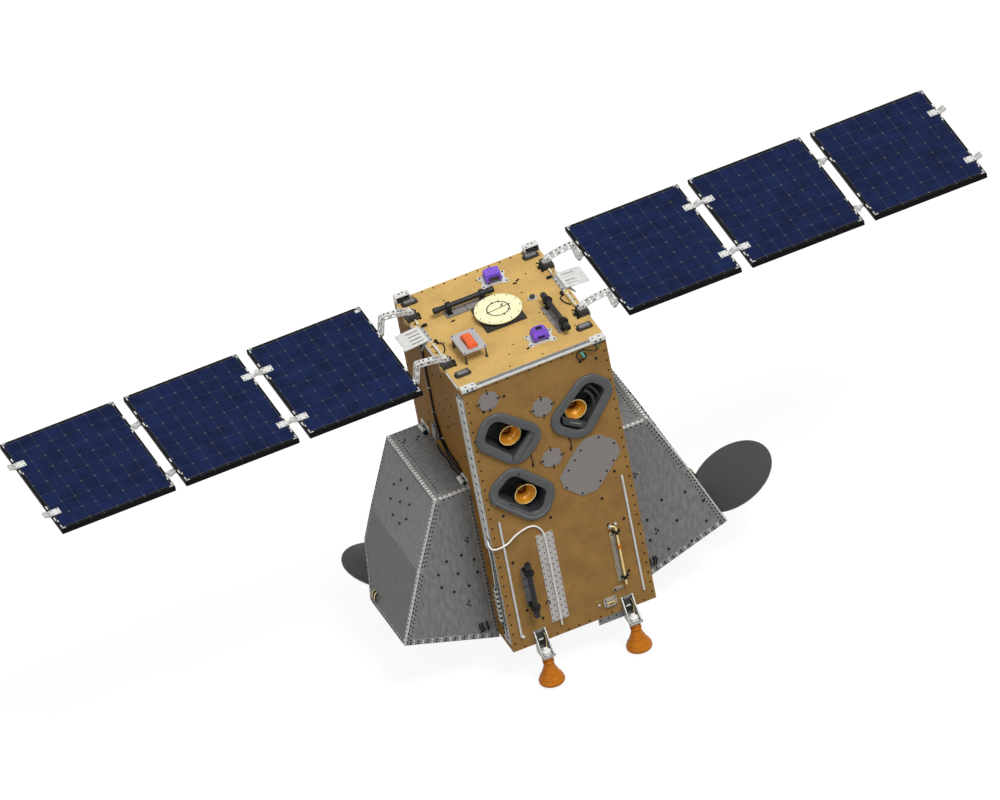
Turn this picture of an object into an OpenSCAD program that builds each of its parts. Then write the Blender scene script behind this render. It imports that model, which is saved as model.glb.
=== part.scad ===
// Small Earth-observation satellite with two folding solar wings, standing on its launch ring.
// Millimetres, +Z up. The origin is the centre of the launch ring's base; the front face looks towards -Y.

/* [Body] */
// Width of the body, from side to side
body_w = 660; // [630:1:800]
// Depth of the body, from front to back
body_d = 740; // [720:1:900]
// Height of the body
body_h = 1400; // [1370:1:1700]
// Thickness of the sandwich panels
skin_t = 20; // [14:1:26]
// Side of the equipment block inside the body
block_side = 320; // [240:1:420]
// Height of the equipment block
block_h = 620; // [300:1:900]

/* [Launch ring] */
// Height of the ring
ring_h = 190; // [180:1:260]
// Bolt circle of the ring
ring_pcd = 381; // [330:1:450]
// Number of bolts
ring_bolts = 24; // [12:4:36]
// Bolt hole in the ring
ring_hole_d = 6.6; // [5:0.1:9]
// Width of the ring's flanges
ring_flange_w = 30; // [24:1:40]
// Thickness of the ring's flanges
ring_flange_t = 8; // [5:1:12]
// Wall of the ring between its flanges
ring_wall = 6; // [4:1:10]
// How far the ring stands behind the middle of the body
ring_back = 75; // [0:1:100]

/* [Solar wings] */
// Width of one solar panel, along the wing
panel_w = 520; // [430:1:560]
// Length of one solar panel, across the wing
panel_l = 696; // [560:1:760]
// Thickness of a solar panel
panel_t = 25; // [20:1:30]
// Gap between neighbouring panels
panel_gap = 47; // [44:1:60]
// Height of the panels' upper faces above the deck
panel_rise = 19; // [15:1:24]
// How far the wing's middle lies behind the body's middle
wing_back = 53; // [0:1:80]
// Distance from the body's side to the inner panel
wing_gap = 144; // [135:1:230]

/* [Wing hinges] */
// Place of the front hinges behind the body's middle
hinge_front = -165; // [-200:1:-150]
// Place of the rear hinges behind the body's middle
hinge_rear = 221; // [200:1:260]
// Gap between two panels that are folded together
fold_gap = 10; // [9:1:14]
// Diameter of the hinge pins
pin_d = 8; // [6:0.5:9]
// Outer radius of the hinge knuckles
knuckle_r = 9; // [8:0.5:10]
// Width of the middle lug of a hinge
lug_w = 13; // [10:1:16]
// Thickness of each cheek of a hinge fork
cheek_t = 6; // [4:1:8]
// Clearance in the hinges
hinge_clear = 0.3; // [0.2:0.1:0.6]
// Height of the dark blocks under the root arms
arm_block_h = 24; // [18:1:32]

/* [Side shrouds] */
// Distance of the shroud's top below the deck
shroud_top = 617; // [600:1:700]
// Width of the shroud at its top
shroud_top_w = 162; // [130:1:200]
// Distance of the shroud's fold line below the deck
shroud_fold = 937; // [860:1:1000]
// Width of the shroud at its fold line
shroud_fold_w = 291; // [250:1:320]
// Distance of the shroud's outer bottom corner below the deck
shroud_bottom = 1280; // [1200:1:1310]
// Width of the shroud at its bottom
shroud_bottom_w = 416; // [380:1:430]
// Slope of the shroud's bottom plate, down towards the body
shroud_slope = 18.6; // [12:0.1:20]
// Front plane of the shroud
shroud_front = -211; // [-240:1:-150]
// Back plane of the shroud
shroud_back = 317; // [280:1:345]
// Rear edge of the shroud's bottom plate
shroud_cut_y = 160; // [150:1:200]
// Distance of the cut corner's upper edge below the deck
shroud_cut_top = 1063; // [1000:1:1120]
// Thickness of the shroud's plates
shroud_t = 3; // [2:0.5:5]

/* [Dish antennas] */
// Diameter of a dish
dish_d = 380; // [300:1:400]
// Thickness of a dish's shell
dish_t = 8; // [6:1:12]
// Depth of a dish
dish_depth = 20; // [12:1:30]
// Outward lean of the dishes
dish_lean = 20.6; // [15:0.1:24]
// Distance from the swing axis to the middle of a dish
dish_reach = 378; // [360:1:400]
// Distance of the swing axis from the body's side
swing_out = 206; // [170:1:230]
// Place of the swing axis behind the body's middle
swing_y = 115; // [90:1:125]
// Height of the dishes' plane at the swing axis below the shroud
swing_drop = 137; // [132:1:157]
// Turn of the right arm at rest, from straight outwards to the back
right_swing = -9; // [-20:1:20]
// Turn of the left arm at rest
left_swing = 86; // [70:1:100]

/* [Deck equipment] */
// Diameter of the deck's disc antenna
disc_d = 205; // [160:1:220]
// Height of the disc antenna's top
disc_top = 33; // [25:1:45]
// Diameter of the torque rods
rod_d = 28; // [18:1:30]
// Height of the rods' middle lines above what they stand on
rod_rise = 40; // [34:1:50]
// Height of the instrument table
table_h = 56; // [40:1:70]

/* [Front equipment] */
// Width of the rim around each horn recess
funnel_lip = 42; // [34:1:44]
// Height of the rim in front of the face
funnel_rise = 14; // [8:1:20]
// Depth of the horn recesses
funnel_depth = 90; // [70:1:110]
// Mouth diameter of the horn antennas
horn_d = 98; // [70:1:100]

/* [Thrusters] */
// Distance of the thrusters from the middle
thruster_x = 202; // [160:1:230]
// Distance of a bell's axis in front of the face
thruster_out = 48; // [48:1:60]
// Exit diameter of the bells
bell_d = 113; // [80:1:116]
// Length of the bells
bell_l = 132; // [100:1:136]
// Distance of the bells' throats below the body
throat_drop = 41; // [30:1:44]

/* [Hidden] */
$fn = 64;
deck_z = ring_h + body_h;
body_y = -ring_back;
half_w = body_w / 2;
half_d = body_d / 2;
hinge_places = [hinge_front, hinge_rear];
slot_w = lug_w + 2 * hinge_clear;
fork_w = slot_w + 2 * cheek_t;
half_gap = panel_gap / 2;
wing_start = half_w + wing_gap;
pitch = panel_w + panel_gap;
hinge_lift = fold_gap / 2;
root_x = wing_start - 18;
root_z = panel_rise - panel_t - 14;
plate_t = 2;
plate_l = 45;
plate_w = 40;
ring_od = ring_pcd + 20;
touch_gap = 0.3;
strip_t = 4;
rail_t = 6;
hose_d = 8;
cable_d = 9;

// Corner points of the round-cornered horn recesses, in the plane of the front face
funnel_points = [
    [[-234, -284], [-144, -380], [-108, -346], [-217, -251]],
    [[-224, -579], [-112, -694], [-96, -656], [-192, -554]],
    [[104, -336], [146, -370], [234, -258], [213, -237]]
];
funnel_radii = [80, 80, 82];
horn_places = [[-155, -325], [-139, -646], [148, -322]];

// Middles of the small covers and corners of the large one, in the plane of the front face
small_covers = [[-225, -98], [1, -231], [0, -500]];
large_cover = [
    [155, -467], [97, -516], [16, -616], [25, -677], [97, -748],
    [166, -749], [235, -676], [299, -601], [287, -534], [222, -475]
];

// Route of the white hose: down the side strip, round the edge, over the face and down the long plate
hose_face = hose_d / 2 + touch_gap;
hose_side = -half_w - strip_t - hose_face;
hose_route = [
    [hose_side, -half_d + 28, -60], [hose_side, -half_d + 28, -400],
    [hose_side, -half_d + 28, -760], [hose_side - 2, -half_d + 20, -800],
    [hose_side - 5, -half_d + 4, -824], [hose_side + 1, -half_d - 10, -836],
    [hose_side + 17, -half_d - 13, -842], [-304, -half_d - 12, -844],
    [-283, -half_d - rail_t - hose_face, -843], [-258, -half_d - 9, -835],
    [-230, -half_d - hose_face, -820], [-194, -half_d - hose_face, -805],
    [-160, -half_d - hose_face, -799], [-135, -half_d - hose_face, -805],
    [-115, -half_d - hose_face - 2, -825], [-104, -half_d - hose_face - 3, -850],
    [-100, -half_d - hose_face - 3, -890], [-99, -half_d - hose_face - 3, -1000],
    [-99, -half_d - hose_face - 3, -1150], [-99, -half_d - hose_face - 3, -1300],
    [-99, -half_d - hose_face - 3, -1347]
];

// Route of the black cable down the left side
cable_side = -half_w - cable_d / 2 - touch_gap;
cable_route = [
    [cable_side, 85, -24], [cable_side, 85, -150], [cable_side, 86, -300], [cable_side, 85, -400],
    [cable_side, 78, -445], [cable_side, 62, -485], [cable_side, 38, -520], [cable_side, 5, -543],
    [cable_side, -30, -553], [cable_side, -75, -556], [cable_side, -115, -562], [cable_side, -145, -578]
];

// ---- helpers ----

// Places what is drawn around the middle of the deck's upper face
module on_deck() {
    translate([0, body_y, deck_z]) children();
}

// Places what is drawn on the front face: x to the right, y up from the deck's level, z outwards
module on_front() {
    on_deck() translate([0, -half_d, 0]) rotate([90, 0, 0]) children();
}

// Draws its children on the right side, or mirrored on the left one
module on_side(side) {
    if (side > 0)
        children();
    else
        mirror([1, 0, 0]) children();
}

// Draws a profile in the X-Z plane and gives it a width along Y about the middle
module across(width) {
    rotate([90, 0, 0]) linear_extrude(width, center = true) children();
}

module block(from, to) {
    translate(from) cube(to - from);
}

function edge_normal(p, q) = let (d = (q - p) / norm(q - p)) [d.y, -d.x];

// Convex outline with round corners: circles about the points and the polygon of their tangents, which
// is drawn in a little so that the arcs and the straight sides cross cleanly
module rounded(points, r) {
    n = len(points);
    in = r - 0.1;
    polygon([
        for (i = [0 : n - 1])
            let (before = edge_normal(points[(i + n - 1) % n], points[i]),
                 after = edge_normal(points[i], points[(i + 1) % n]))
                each [points[i] + in * before, points[i] + in * after]
    ]);
    for (p = points)
        translate(p) circle(r);
}

module stadium(length, width) {
    square([length, width], center = true);
    for (end = [-1, 1])
        translate([end * length / 2, 0]) circle(width / 2);
}

// A bar of round-ended links through the points
module links(points, r) {
    for (i = [0 : len(points) - 2]) {
        step = points[i + 1] - points[i];
        translate((points[i] + points[i + 1]) / 2)
            rotate(atan2(step.y, step.x)) stadium(norm(step), 2 * r);
    }
}

function unit(v) = v / norm(v);
function direction_at(route, i) =
    unit(route[min(i + 1, len(route) - 1)] - route[max(i - 1, 0)]);

// Round tube along a route; the rings are turned from one fixed side direction
module tube(route, d, side_dir, sides = 8) {
    n = len(route);
    rings = [
        for (i = [0 : n - 1])
            let (along = direction_at(route, i),
                 across = unit(cross(along, side_dir)),
                 up = cross(across, along))
                for (k = [0 : sides - 1])
                    route[i] + d / 2 * (cos(360 * k / sides) * across + sin(360 * k / sides) * up)
    ];
    walls = [
        for (i = [0 : n - 2])
            for (k = [0 : sides - 1])
                let (a = i * sides + k, b = i * sides + (k + 1) % sides)
                    [a, b, b + sides, a + sides]
    ];
    start = [[for (k = [sides - 1 : -1 : 0]) k]];
    end = [[for (k = [0 : sides - 1]) (n - 1) * sides + k]];
    polyhedron(rings, concat(start, walls, end), convexity = 8);
}

// ---- body ----

ear_r = 35;
ear_in = 20;

module top_deck() {
    color([0.78, 0.60, 0.33]) on_deck() translate([0, 0, -skin_t]) linear_extrude(skin_t) {
        square([body_w, body_d], center = true);
        for (side = [-1, 1])
            for (y = hinge_places)
                translate([side * (half_w - ear_in), y]) circle(ear_r);
    }
}

module base_deck() {
    color([0.70, 0.53, 0.28]) on_deck()
        block([-half_w, -half_d, -body_h], [half_w, half_d, skin_t - body_h]);
}

module front_panel() {
    color([0.62, 0.45, 0.20]) on_front() translate([0, 0, -skin_t]) linear_extrude(skin_t) difference() {
        translate([-half_w, skin_t - body_h]) square([body_w, body_h - 2 * skin_t]);
        for (i = [0 : 2])
            rounded(funnel_points[i], funnel_radii[i] - funnel_lip + cup_wall + touch_gap);
    }
}

module back_panel() {
    color([0.62, 0.45, 0.20]) on_deck()
        block([-half_w, half_d - skin_t, skin_t - body_h], [half_w, half_d, -skin_t]);
}

module side_panel(side) {
    color([0.58, 0.42, 0.20]) on_deck() on_side(side)
        block([half_w - skin_t, skin_t - half_d, skin_t - body_h], [half_w, half_d - skin_t, -skin_t]);
}

module equipment_block() {
    color("dimgray") on_deck() translate([-block_side / 2, ring_back - block_side / 2, skin_t - body_h])
        cube([block_side, block_side, block_h]);
}

module launch_ring() {
    inner_r = ring_od / 2 - ring_flange_w;
    wall_r = ring_pcd / 2 - 12;
    color("silver") difference() {
        rotate_extrude() {
            translate([inner_r, 0]) square([ring_flange_w, ring_flange_t]);
            translate([inner_r, ring_h - ring_flange_t]) square([ring_flange_w, ring_flange_t]);
            translate([wall_r - ring_wall, 0]) square([ring_wall, ring_h]);
        }
        for (i = [0 : ring_bolts - 1])
            rotate(360 * i / ring_bolts) translate([ring_pcd / 2, 0, -1])
                cylinder(d = ring_hole_d, h = ring_flange_t + 2);
    }
}

// ---- side shrouds ----

shroud_rise = [half_w, half_w + shroud_top_w, half_w + shroud_fold_w, half_w + shroud_bottom_w];
slope_rise = tan(shroud_slope);
shroud_low = shroud_bottom + shroud_bottom_w * slope_rise;
cut_run = (shroud_back - shroud_cut_y) / (shroud_bottom - shroud_cut_top);

// Shears level things to the slope of the shroud's bottom plate, about its outer corner
module along_slope() {
    multmatrix([[1, 0, 0, 0], [0, 1, 0, 0], [slope_rise, 0, 1, -slope_rise * shroud_rise[3]]]) children();
}

// The shroud's outer form drawn in by a wall thickness
module shroud_form(wall) {
    lift = wall / cos(shroud_slope);
    intersection() {
        translate([0, (shroud_front + shroud_back) / 2, 0])
            across(shroud_back - shroud_front - 2 * wall)
                polygon([
                    [shroud_rise[0] + wall, lift - shroud_low], [shroud_rise[3] - wall, lift - shroud_bottom],
                    [shroud_rise[2] - wall, -shroud_fold], [shroud_rise[1] - wall, -shroud_top - wall],
                    [shroud_rise[0] + wall, -shroud_top - wall]
                ]);
        along_slope() translate([half_w - 1, 0, 0]) rotate([90, 0, 90]) linear_extrude(shroud_bottom_w + 2)
            polygon([
                [shroud_front, -shroud_bottom - 1], [shroud_cut_y - wall - cut_run, -shroud_bottom - 1],
                [shroud_back - wall, -shroud_cut_top], [shroud_back, -shroud_cut_top + wall],
                [shroud_back, shroud_low - shroud_bottom + 1 - shroud_top],
                [shroud_front, shroud_low - shroud_bottom + 1 - shroud_top]
            ]);
    }
}

module shroud(side) {
    color([0.52, 0.52, 0.51]) on_deck() on_side(side) difference() {
        shroud_form(0);
        shroud_form(shroud_t);
    }
}

fitting_l = 50;
fitting_w = 25;

module shroud_fittings() {
    color("silver") on_deck() for (side = [-1, 1]) on_side(side)
        for (y = [shroud_front + 8, shroud_back - fitting_l - 8])
            translate([half_w, y, -shroud_top]) difference() {
                cube([fitting_w, fitting_l, fitting_w]);
                translate([4, -1, 4]) cube([fitting_w, fitting_l + 2, fitting_w]);
            }
}

// ---- wing roots ----

arm_block_w = 44;
arm_block_l = 52;
arm_block_x = half_w - 17;
fork_clear_r = knuckle_r + 12;

module arm_blocks() {
    color([0.22, 0.21, 0.20]) on_deck() for (side = [-1, 1]) for (y = hinge_places)
        translate([side * arm_block_x - arm_block_w / 2, y - arm_block_l / 2, 0])
            cube([arm_block_w, arm_block_l, arm_block_h]);
}

module hinge_pin() {
    rotate([90, 0, 0]) cylinder(d = pin_d, h = fork_w, center = true);
}

module root_arm() {
    foot_z = arm_block_h;
    span = root_x - arm_block_x;
    difference() {
        across(fork_w) {
            translate([arm_block_x - 18, foot_z]) square([36, 12]);
            links([[arm_block_x + 4, foot_z + 14], [arm_block_x + 0.41 * span, foot_z + 26],
                   [root_x - 16, foot_z + 34], [root_x, root_z]], 11);
        }
        translate([root_x, 0, root_z]) across(slot_w) circle(fork_clear_r);
    }
    translate([root_x, 0, root_z]) hinge_pin();
}

module root_arms(side) {
    color("whitesmoke") on_deck() on_side(side)
        for (y = hinge_places)
            translate([0, y, 0]) root_arm();
}

// ---- solar wings ----

module wing_panel(side, index) {
    color([0.07, 0.10, 0.30]) on_deck() on_side(side)
        translate([wing_start + index * pitch, wing_back - panel_l / 2, panel_rise - panel_t])
            cube([panel_w, panel_l, panel_t]);
}

// Profile of a hinge leaf beside its axis: the knuckle, the web down the panel's edge, the plate on the face
module leaf_profile() {
    circle(knuckle_r);
    polygon([
        [0, -knuckle_r], [half_gap, -hinge_lift - 12], [half_gap, -hinge_lift],
        [half_gap + 16, -hinge_lift], [half_gap + 16, plate_t - hinge_lift],
        [half_gap, plate_t - hinge_lift], [0, knuckle_r]
    ]);
}

module face_plate() {
    translate([half_gap, -plate_w / 2, -hinge_lift]) cube([plate_l, plate_w, plate_t]);
}

// Middle leaf of a hinge, with the bore for the pin
module lug_leaf() {
    difference() {
        union() {
            across(lug_w) leaf_profile();
            face_plate();
        }
        rotate([90, 0, 0]) cylinder(d = pin_d + 2 * hinge_clear, h = fork_w, center = true);
    }
}

// Outer leaf of a hinge: two cheeks, their plate and the pin
module fork_leaf() {
    difference() {
        across(fork_w) leaf_profile();
        across(slot_w) translate([-20, -30]) square([20 + half_gap, 60]);
    }
    face_plate();
    hinge_pin();
}

// The leaf on the inner panel's lower face, which turns on the root arm's pin
module root_leaf() {
    reach = wing_start - root_x;
    under = panel_rise - panel_t - root_z;
    translate([root_x, 0, root_z]) difference() {
        union() {
            across(lug_w) {
                circle(knuckle_r);
                polygon([
                    [0, -knuckle_r], [reach + 30, under - plate_t], [reach + 30, under],
                    [reach, under], [reach, under + 14], [0, knuckle_r]
                ]);
            }
            translate([reach, -plate_w / 2, under - plate_t]) cube([plate_l, plate_w, plate_t]);
        }
        rotate([90, 0, 0]) cylinder(d = pin_d + 2 * hinge_clear, h = fork_w, center = true);
    }
}

// Height of a hinge axis outside the inner panel: above the faces at the first gap, below them at the second
function axis_z(gap) = gap == 1 ? panel_rise + hinge_lift : panel_rise - panel_t - hinge_lift;
function axis_x(gap) = wing_start + gap * pitch - half_gap;

// Places a leaf on a gap's axis; inward leaves are turned round and leaves on lower faces are upside down
module at_gap(gap, inward, lower) {
    translate([axis_x(gap), 0, lower ? panel_rise - panel_t - hinge_lift : panel_rise + hinge_lift])
        mirror([inward ? 1 : 0, 0, 0]) mirror([0, 0, lower ? 1 : 0]) children();
}

module wing_fittings(side, index) {
    color("white") on_deck() on_side(side) for (y = hinge_places) translate([0, y, 0]) {
        if (index == 0) {
            root_leaf();
            at_gap(1, true, false) fork_leaf();
        }
        if (index == 1) {
            at_gap(1, false, false) lug_leaf();
            at_gap(2, true, true) fork_leaf();
        }
        if (index == 2) {
            at_gap(2, false, true) lug_leaf();
            at_gap(3, true, false) fork_leaf();
        }
    }
}

// ---- deck ----

module edge_plates() {
    plate_x = half_w - 14;
    color("lightgray") on_deck() for (side = [-1, 1]) on_side(side) {
        difference() {
            translate([0, 75, 0]) across(118) polygon([
                [plate_x - 18, 0], [plate_x + 4, 0], [plate_x + 4, 11], [plate_x + 110, 2],
                [plate_x + 110, 5], [plate_x + 1, 15], [plate_x + 1, 3], [plate_x - 18, 3]
            ]);
            for (i = [0 : 3])
                translate([plate_x + 42, 36 + 25 * i, -10]) linear_extrude(40) stadium(48, 7);
        }
        for (span = [[-118, -10], [150, 184]])
            translate([half_w - 22, 0, 0]) {
                translate([0, span[1], 8]) rotate([90, 0, 0]) cylinder(d = 10, h = span[1] - span[0]);
                for (y = [span[0] + 5, span[1] - 9])
                    translate([-5, y, 0]) cube([10, 4, 8]);
            }
    }
}

antenna_side = 178;
antenna_at = [10, 25];
base_t = 14;

module antenna_base() {
    color([0.25, 0.24, 0.22]) on_deck() translate([antenna_at.x, antenna_at.y, 0]) {
        translate([-antenna_side / 2, -antenna_side / 2, 0]) cube([antenna_side, antenna_side, base_t]);
    }
}

module antenna_disc() {
    color([0.96, 0.94, 0.76]) on_deck() translate([antenna_at.x, antenna_at.y, base_t])
        cylinder(d = disc_d, h = disc_top - base_t);
}

// A torque rod along x, held in two clamps on a plate
module torque_rod(length, clamps, plate) {
    clamp_t = 20;
    translate([0, 0, rod_rise]) rotate([0, 90, 0]) cylinder(d = rod_d, h = length, center = true);
    for (x = clamps) {
        translate([x, 0, rod_rise]) rotate([0, 90, 0])
            cylinder(d = rod_d + 14, h = clamp_t, center = true);
        translate([x - clamp_t / 2, -rod_d / 2, 2]) cube([clamp_t, rod_d, rod_rise - 2]);
    }
    translate([plate[0], plate[1], 0]) cube([plate[2] - plate[0], plate[3] - plate[1], 4]);
}

module deck_rod_rear() {
    color([0.10, 0.10, 0.10]) on_deck() translate([-94, 154, 0])
        torque_rod(278, [-70, 84], [-92, -30, 100, 22]);
}

module deck_rod_right() {
    color([0.10, 0.10, 0.10]) on_deck() translate([205, -143, 0]) rotate(90)
        torque_rod(278, [-85, 88], [-100, -24, 104, 32]);
}

sensor_places = [[82, 267], [93, -220]];

module sensor_brackets() {
    color("white") on_deck() for (p = sensor_places)
        translate([p.x - 48, p.y - 40, 0]) {
            cube([96, 62, 4]);
            translate([26, 8, 4]) cube([44, 50, 12]);
        }
}

module sun_sensors() {
    color([0.36, 0.18, 0.72]) on_deck() for (p = sensor_places)
        translate([p.x, p.y - 7, 16]) {
            across(62) polygon([[-38, 0], [38, 0], [38, 18], [24, 34], [-24, 34], [-38, 18]]);
        }
}

table_from = [-245, -216];
table_to = [-138, -63];
table_t = 5;

module instrument_table() {
    color([0.62, 0.62, 0.64]) on_deck() {
        translate([table_from.x, table_from.y, table_h - table_t])
            cube([table_to.x - table_from.x, table_to.y - table_from.y, table_t]);
        for (x = [table_from.x + 7, table_to.x - 7])
            for (y = [table_from.y + 7, table_to.y - 7])
                translate([x, y, 0]) {
                    cylinder(d = 7, h = table_h - 1);
                    cylinder(d = 14, h = 4);
                }
    }
}

module orange_unit() {
    color([0.90, 0.30, 0.12]) on_deck() translate([-191, -145, table_h]) linear_extrude(20)
        rounded([[-13, -40], [13, -40], [13, 40], [-13, 40]], 10);
}

pad_x = 280;
pad_rows = [-265, 318];
pad_h = 12;
pad_hole_d = 8.5;

module deck_pads() {
    color([0.40, 0.40, 0.38]) on_deck() for (x = [-pad_x, pad_x]) for (y = pad_rows)
        translate([x, y, 0]) difference() {
            translate([-30, -17, 0]) cube([60, 34, pad_h]);
            translate([0, 0, -1]) cylinder(d = pad_hole_d, h = pad_h + 2);
        }
}

bracket_l = 66;
bracket_w = 33;
bracket_lap = 4;

// Folded plates over the front corners, and raised boxes on the rear ones
module corner_brackets() {
    color("white") on_deck() for (side = [-1, 1]) on_side(side) {
        translate([half_w - bracket_l, -half_d, 0]) {
            cube([bracket_l, bracket_w - 6, 4]);
            translate([0, -bracket_lap, -14]) cube([bracket_l, bracket_lap, 18]);
        }
        translate([half_w - bracket_l, half_d - bracket_w, 0]) difference() {
            cube([bracket_l, bracket_w, 34]);
            translate([4, -1, 4]) cube([bracket_l - 8, bracket_w - 3, 26]);
        }
    }
}

rail_y = half_d - bracket_w - 4;

module deck_rails() {
    color("white") on_deck() {
        translate([-half_w + bracket_l, -half_d, 0]) rotate([90, 0, 90])
            linear_extrude(body_w - 2 * bracket_l)
                polygon([[-8, -8], [0, -8], [0, 0], [14, 0], [14, 3], [-8, 3]]);
        for (side = [-1, 1]) on_side(side)
            for (span = [[-rail_y, hinge_front - ear_r], [hinge_front + ear_r, hinge_rear - ear_r],
                         [hinge_rear + ear_r, rail_y]])
                block([half_w, span[0], -16], [half_w + 4, span[1], -4]);
    }
}

// ---- front face ----

cup_wall = 3;
horn_wall = 2.5;
horn_l = 70;

module funnel(index) {
    points = funnel_points[index];
    inner_r = funnel_radii[index] - funnel_lip;
    color([0.33, 0.35, 0.36]) on_front() {
        linear_extrude(funnel_rise) difference() {
            rounded(points, funnel_radii[index]);
            rounded(points, inner_r);
        }
        translate([0, 0, -funnel_depth]) linear_extrude(funnel_depth + 1) difference() {
            rounded(points, inner_r + cup_wall);
            rounded(points, inner_r);
        }
        translate([0, 0, -funnel_depth]) linear_extrude(cup_wall) rounded(points, inner_r + 1);
    }
}

module horn_antennas() {
    color([0.85, 0.55, 0.15]) on_front() for (p = horn_places)
        translate([p.x, p.y, cup_wall - funnel_depth]) rotate_extrude() polygon([
            [0, 0], [24, 0], [24, 0.4 * horn_l], [horn_d / 2, horn_l], [horn_d / 2 - horn_wall, horn_l],
            [24 - horn_wall, 0.4 * horn_l], [24 - horn_wall, 6], [0, 6]
        ]);
}

module access_covers() {
    cover = 47;
    chamfer = 22;
    color([0.55, 0.53, 0.52]) on_front() {
        for (p = small_covers)
            translate([p.x, p.y]) linear_extrude(3) polygon([
                [-cover, chamfer - cover], [-chamfer, -cover], [chamfer, -cover], [cover, -chamfer],
                [cover, cover - chamfer], [chamfer, cover], [-chamfer, cover], [-cover, chamfer]
            ]);
        linear_extrude(3) polygon(large_cover);
    }
}

module front_rod() {
    color([0.10, 0.10, 0.10]) on_front() translate([-208, -1093, 0]) rotate(90)
        torque_rod(285, [-92, 92], [-104, -24, 104, 24]);
}

rail_x = 283;
hose_plate = [[-138, -1322], [-61, -861]];

module front_rails() {
    color([0.85, 0.85, 0.84]) on_front() {
        for (x = [-rail_x, rail_x])
            translate([x - 5, -1335, 0]) cube([10, 1335 - 722, rail_t]);
        translate(hose_plate[0]) cube([77, 461, 3]);
    }
}

module front_tube() {
    color([0.75, 0.60, 0.25]) on_front() {
        translate([209, -1262, 16]) rotate([-90, 0, 0]) cylinder(d = 12, h = 300);
        for (y = [-1240, -1000])
            translate([200, y, 0]) cube([18, 30, 20]);
        translate([99, -1354, 0]) cube([58, 46, 16]);
    }
}

// ---- thrusters ----

bracket_half = 27;
throat_r = 12;
bell_wall = 2.5;
bracket_up = 70;

module thruster_brackets() {
    shelf_y = -body_h - throat_drop;
    color([0.72, 0.72, 0.70]) on_front() for (side = [-1, 1])
        translate([side * thruster_x, 0, 0]) {
            translate([-bracket_half, shelf_y, 0]) cube([2 * bracket_half, throat_drop + bracket_up, 5]);
            translate([-bracket_half, shelf_y, 1]) cube([2 * bracket_half, 10, thruster_out + 26]);
            for (x = [-bracket_half, bracket_half - 4])
                translate([x, shelf_y, 1]) rotate([0, 90, 0]) mirror([1, 0, 0]) linear_extrude(4)
                    polygon([[0, 0], [thruster_out + 25, 0], [thruster_out + 25, 14], [0, throat_drop + bracket_up]]);
        }
}

// Bell with a closed head; the exit looks down
module thruster_bells() {
    color([0.85, 0.50, 0.10]) on_deck() for (side = [-1, 1])
        translate([side * thruster_x, -half_d - thruster_out, -body_h - throat_drop])
            mirror([0, 0, 1]) rotate_extrude() polygon([
                [0, 0], [throat_r + 6, 0], [throat_r + 10, 0.16 * bell_l], [throat_r + 12, 0.36 * bell_l],
                [0.74 * bell_d / 2, 0.68 * bell_l], [bell_d / 2, 0.88 * bell_l], [bell_d / 2, bell_l],
                [bell_d / 2 - bell_wall, bell_l], [bell_d / 2 - bell_wall, 0.88 * bell_l],
                [0.74 * bell_d / 2 - bell_wall, 0.68 * bell_l], [throat_r + 12 - bell_wall, 0.36 * bell_l],
                [throat_r + 10 - bell_wall, 0.16 * bell_l], [0, 8]
            ]);
}

// ---- hose, strip and cable ----

module front_hose() {
    color("white") on_deck() tube(hose_route, hose_d, [0.31, 0.95, 0.05]);
}

strip_w = 58;

module side_strip() {
    color([0.75, 0.75, 0.74]) on_deck() {
        block([-half_w - strip_t, -half_d + 3, -body_h + 40], [-half_w, -half_d + 3 + strip_w, -48]);
        for (y = [-half_d + 40, -half_d + 51])
            block([-half_w - strip_t - 7, y - 4, -860], [-half_w - strip_t, y + 4, -60]);
    }
}

module side_cable() {
    color([0.06, 0.06, 0.06]) on_deck() tube(cable_route, cable_d, [1, 0.02, 0.01]);
}

// ---- dish antennas ----

post_d = 50;
arm_d = 26;
arm_end_clear = 4;
swing_x = half_w + swing_out;
swing_z = -shroud_bottom - swing_drop;
hub_h = 40;
dish_r = dish_d / 2;
dish_rim_z = 4;
dish_curve_r = (dish_r * dish_r + dish_depth * dish_depth) / (2 * dish_depth);
hinge_in = 60;
hinge_out = dish_reach - dish_r + hinge_in;
arm_drop = 56;
yoke_w = 34;

// Height of the dish's hollow side above the swing plane, at a distance from the dish's middle
function hollow_z(r) = dish_rim_z + dish_depth - dish_curve_r + sqrt(dish_curve_r * dish_curve_r - r * r);

// Frame of a dish's swing: z along the leaning axis, x along the arm, origin where the axis meets the dishes' plane
module on_swing(side, turn) {
    on_deck() on_side(side) translate([swing_x, swing_y, swing_z])
        rotate([0, -dish_lean, 0]) rotate(turn) children();
}

// Post from the shroud's bottom plate to the hub, with its lower end cut square to the swing axis
module dish_posts() {
    color("dimgray") for (side = [-1, 1]) difference() {
        on_deck() on_side(side) translate([swing_x, swing_y, swing_z])
            rotate([0, -dish_lean, 0]) translate([0, 0, hub_h + touch_gap]) cylinder(d = post_d, h = 200);
        on_deck() on_side(side) along_slope() translate([0, -half_d, -shroud_bottom]) cube([900, body_d, 400]);
    }
}

// Hub and arm; the arm dips under the dish's rim and ends in a fork with the pin of the tilt hinge
module dish_arm(side, turn) {
    color([0.45, 0.45, 0.44]) on_swing(side, turn) {
        translate([0, 0, -14]) cylinder(d = post_d, h = hub_h + 14);
        difference() {
            union() {
                across(arm_d) links([[0, 0], [hinge_out - 128, 0], [hinge_out - 63, -arm_drop],
                                     [hinge_out - 18, -arm_drop]], arm_d / 2);
                across(yoke_w) links([[hinge_out - 18, -arm_drop], [hinge_out, 0]], 10);
            }
            translate([hinge_out, 0, 0]) across(slot_w) circle(14);
        }
        translate([hinge_out, 0, 0]) rotate([90, 0, 0]) cylinder(d = pin_d, h = yoke_w, center = true);
    }
}

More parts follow.
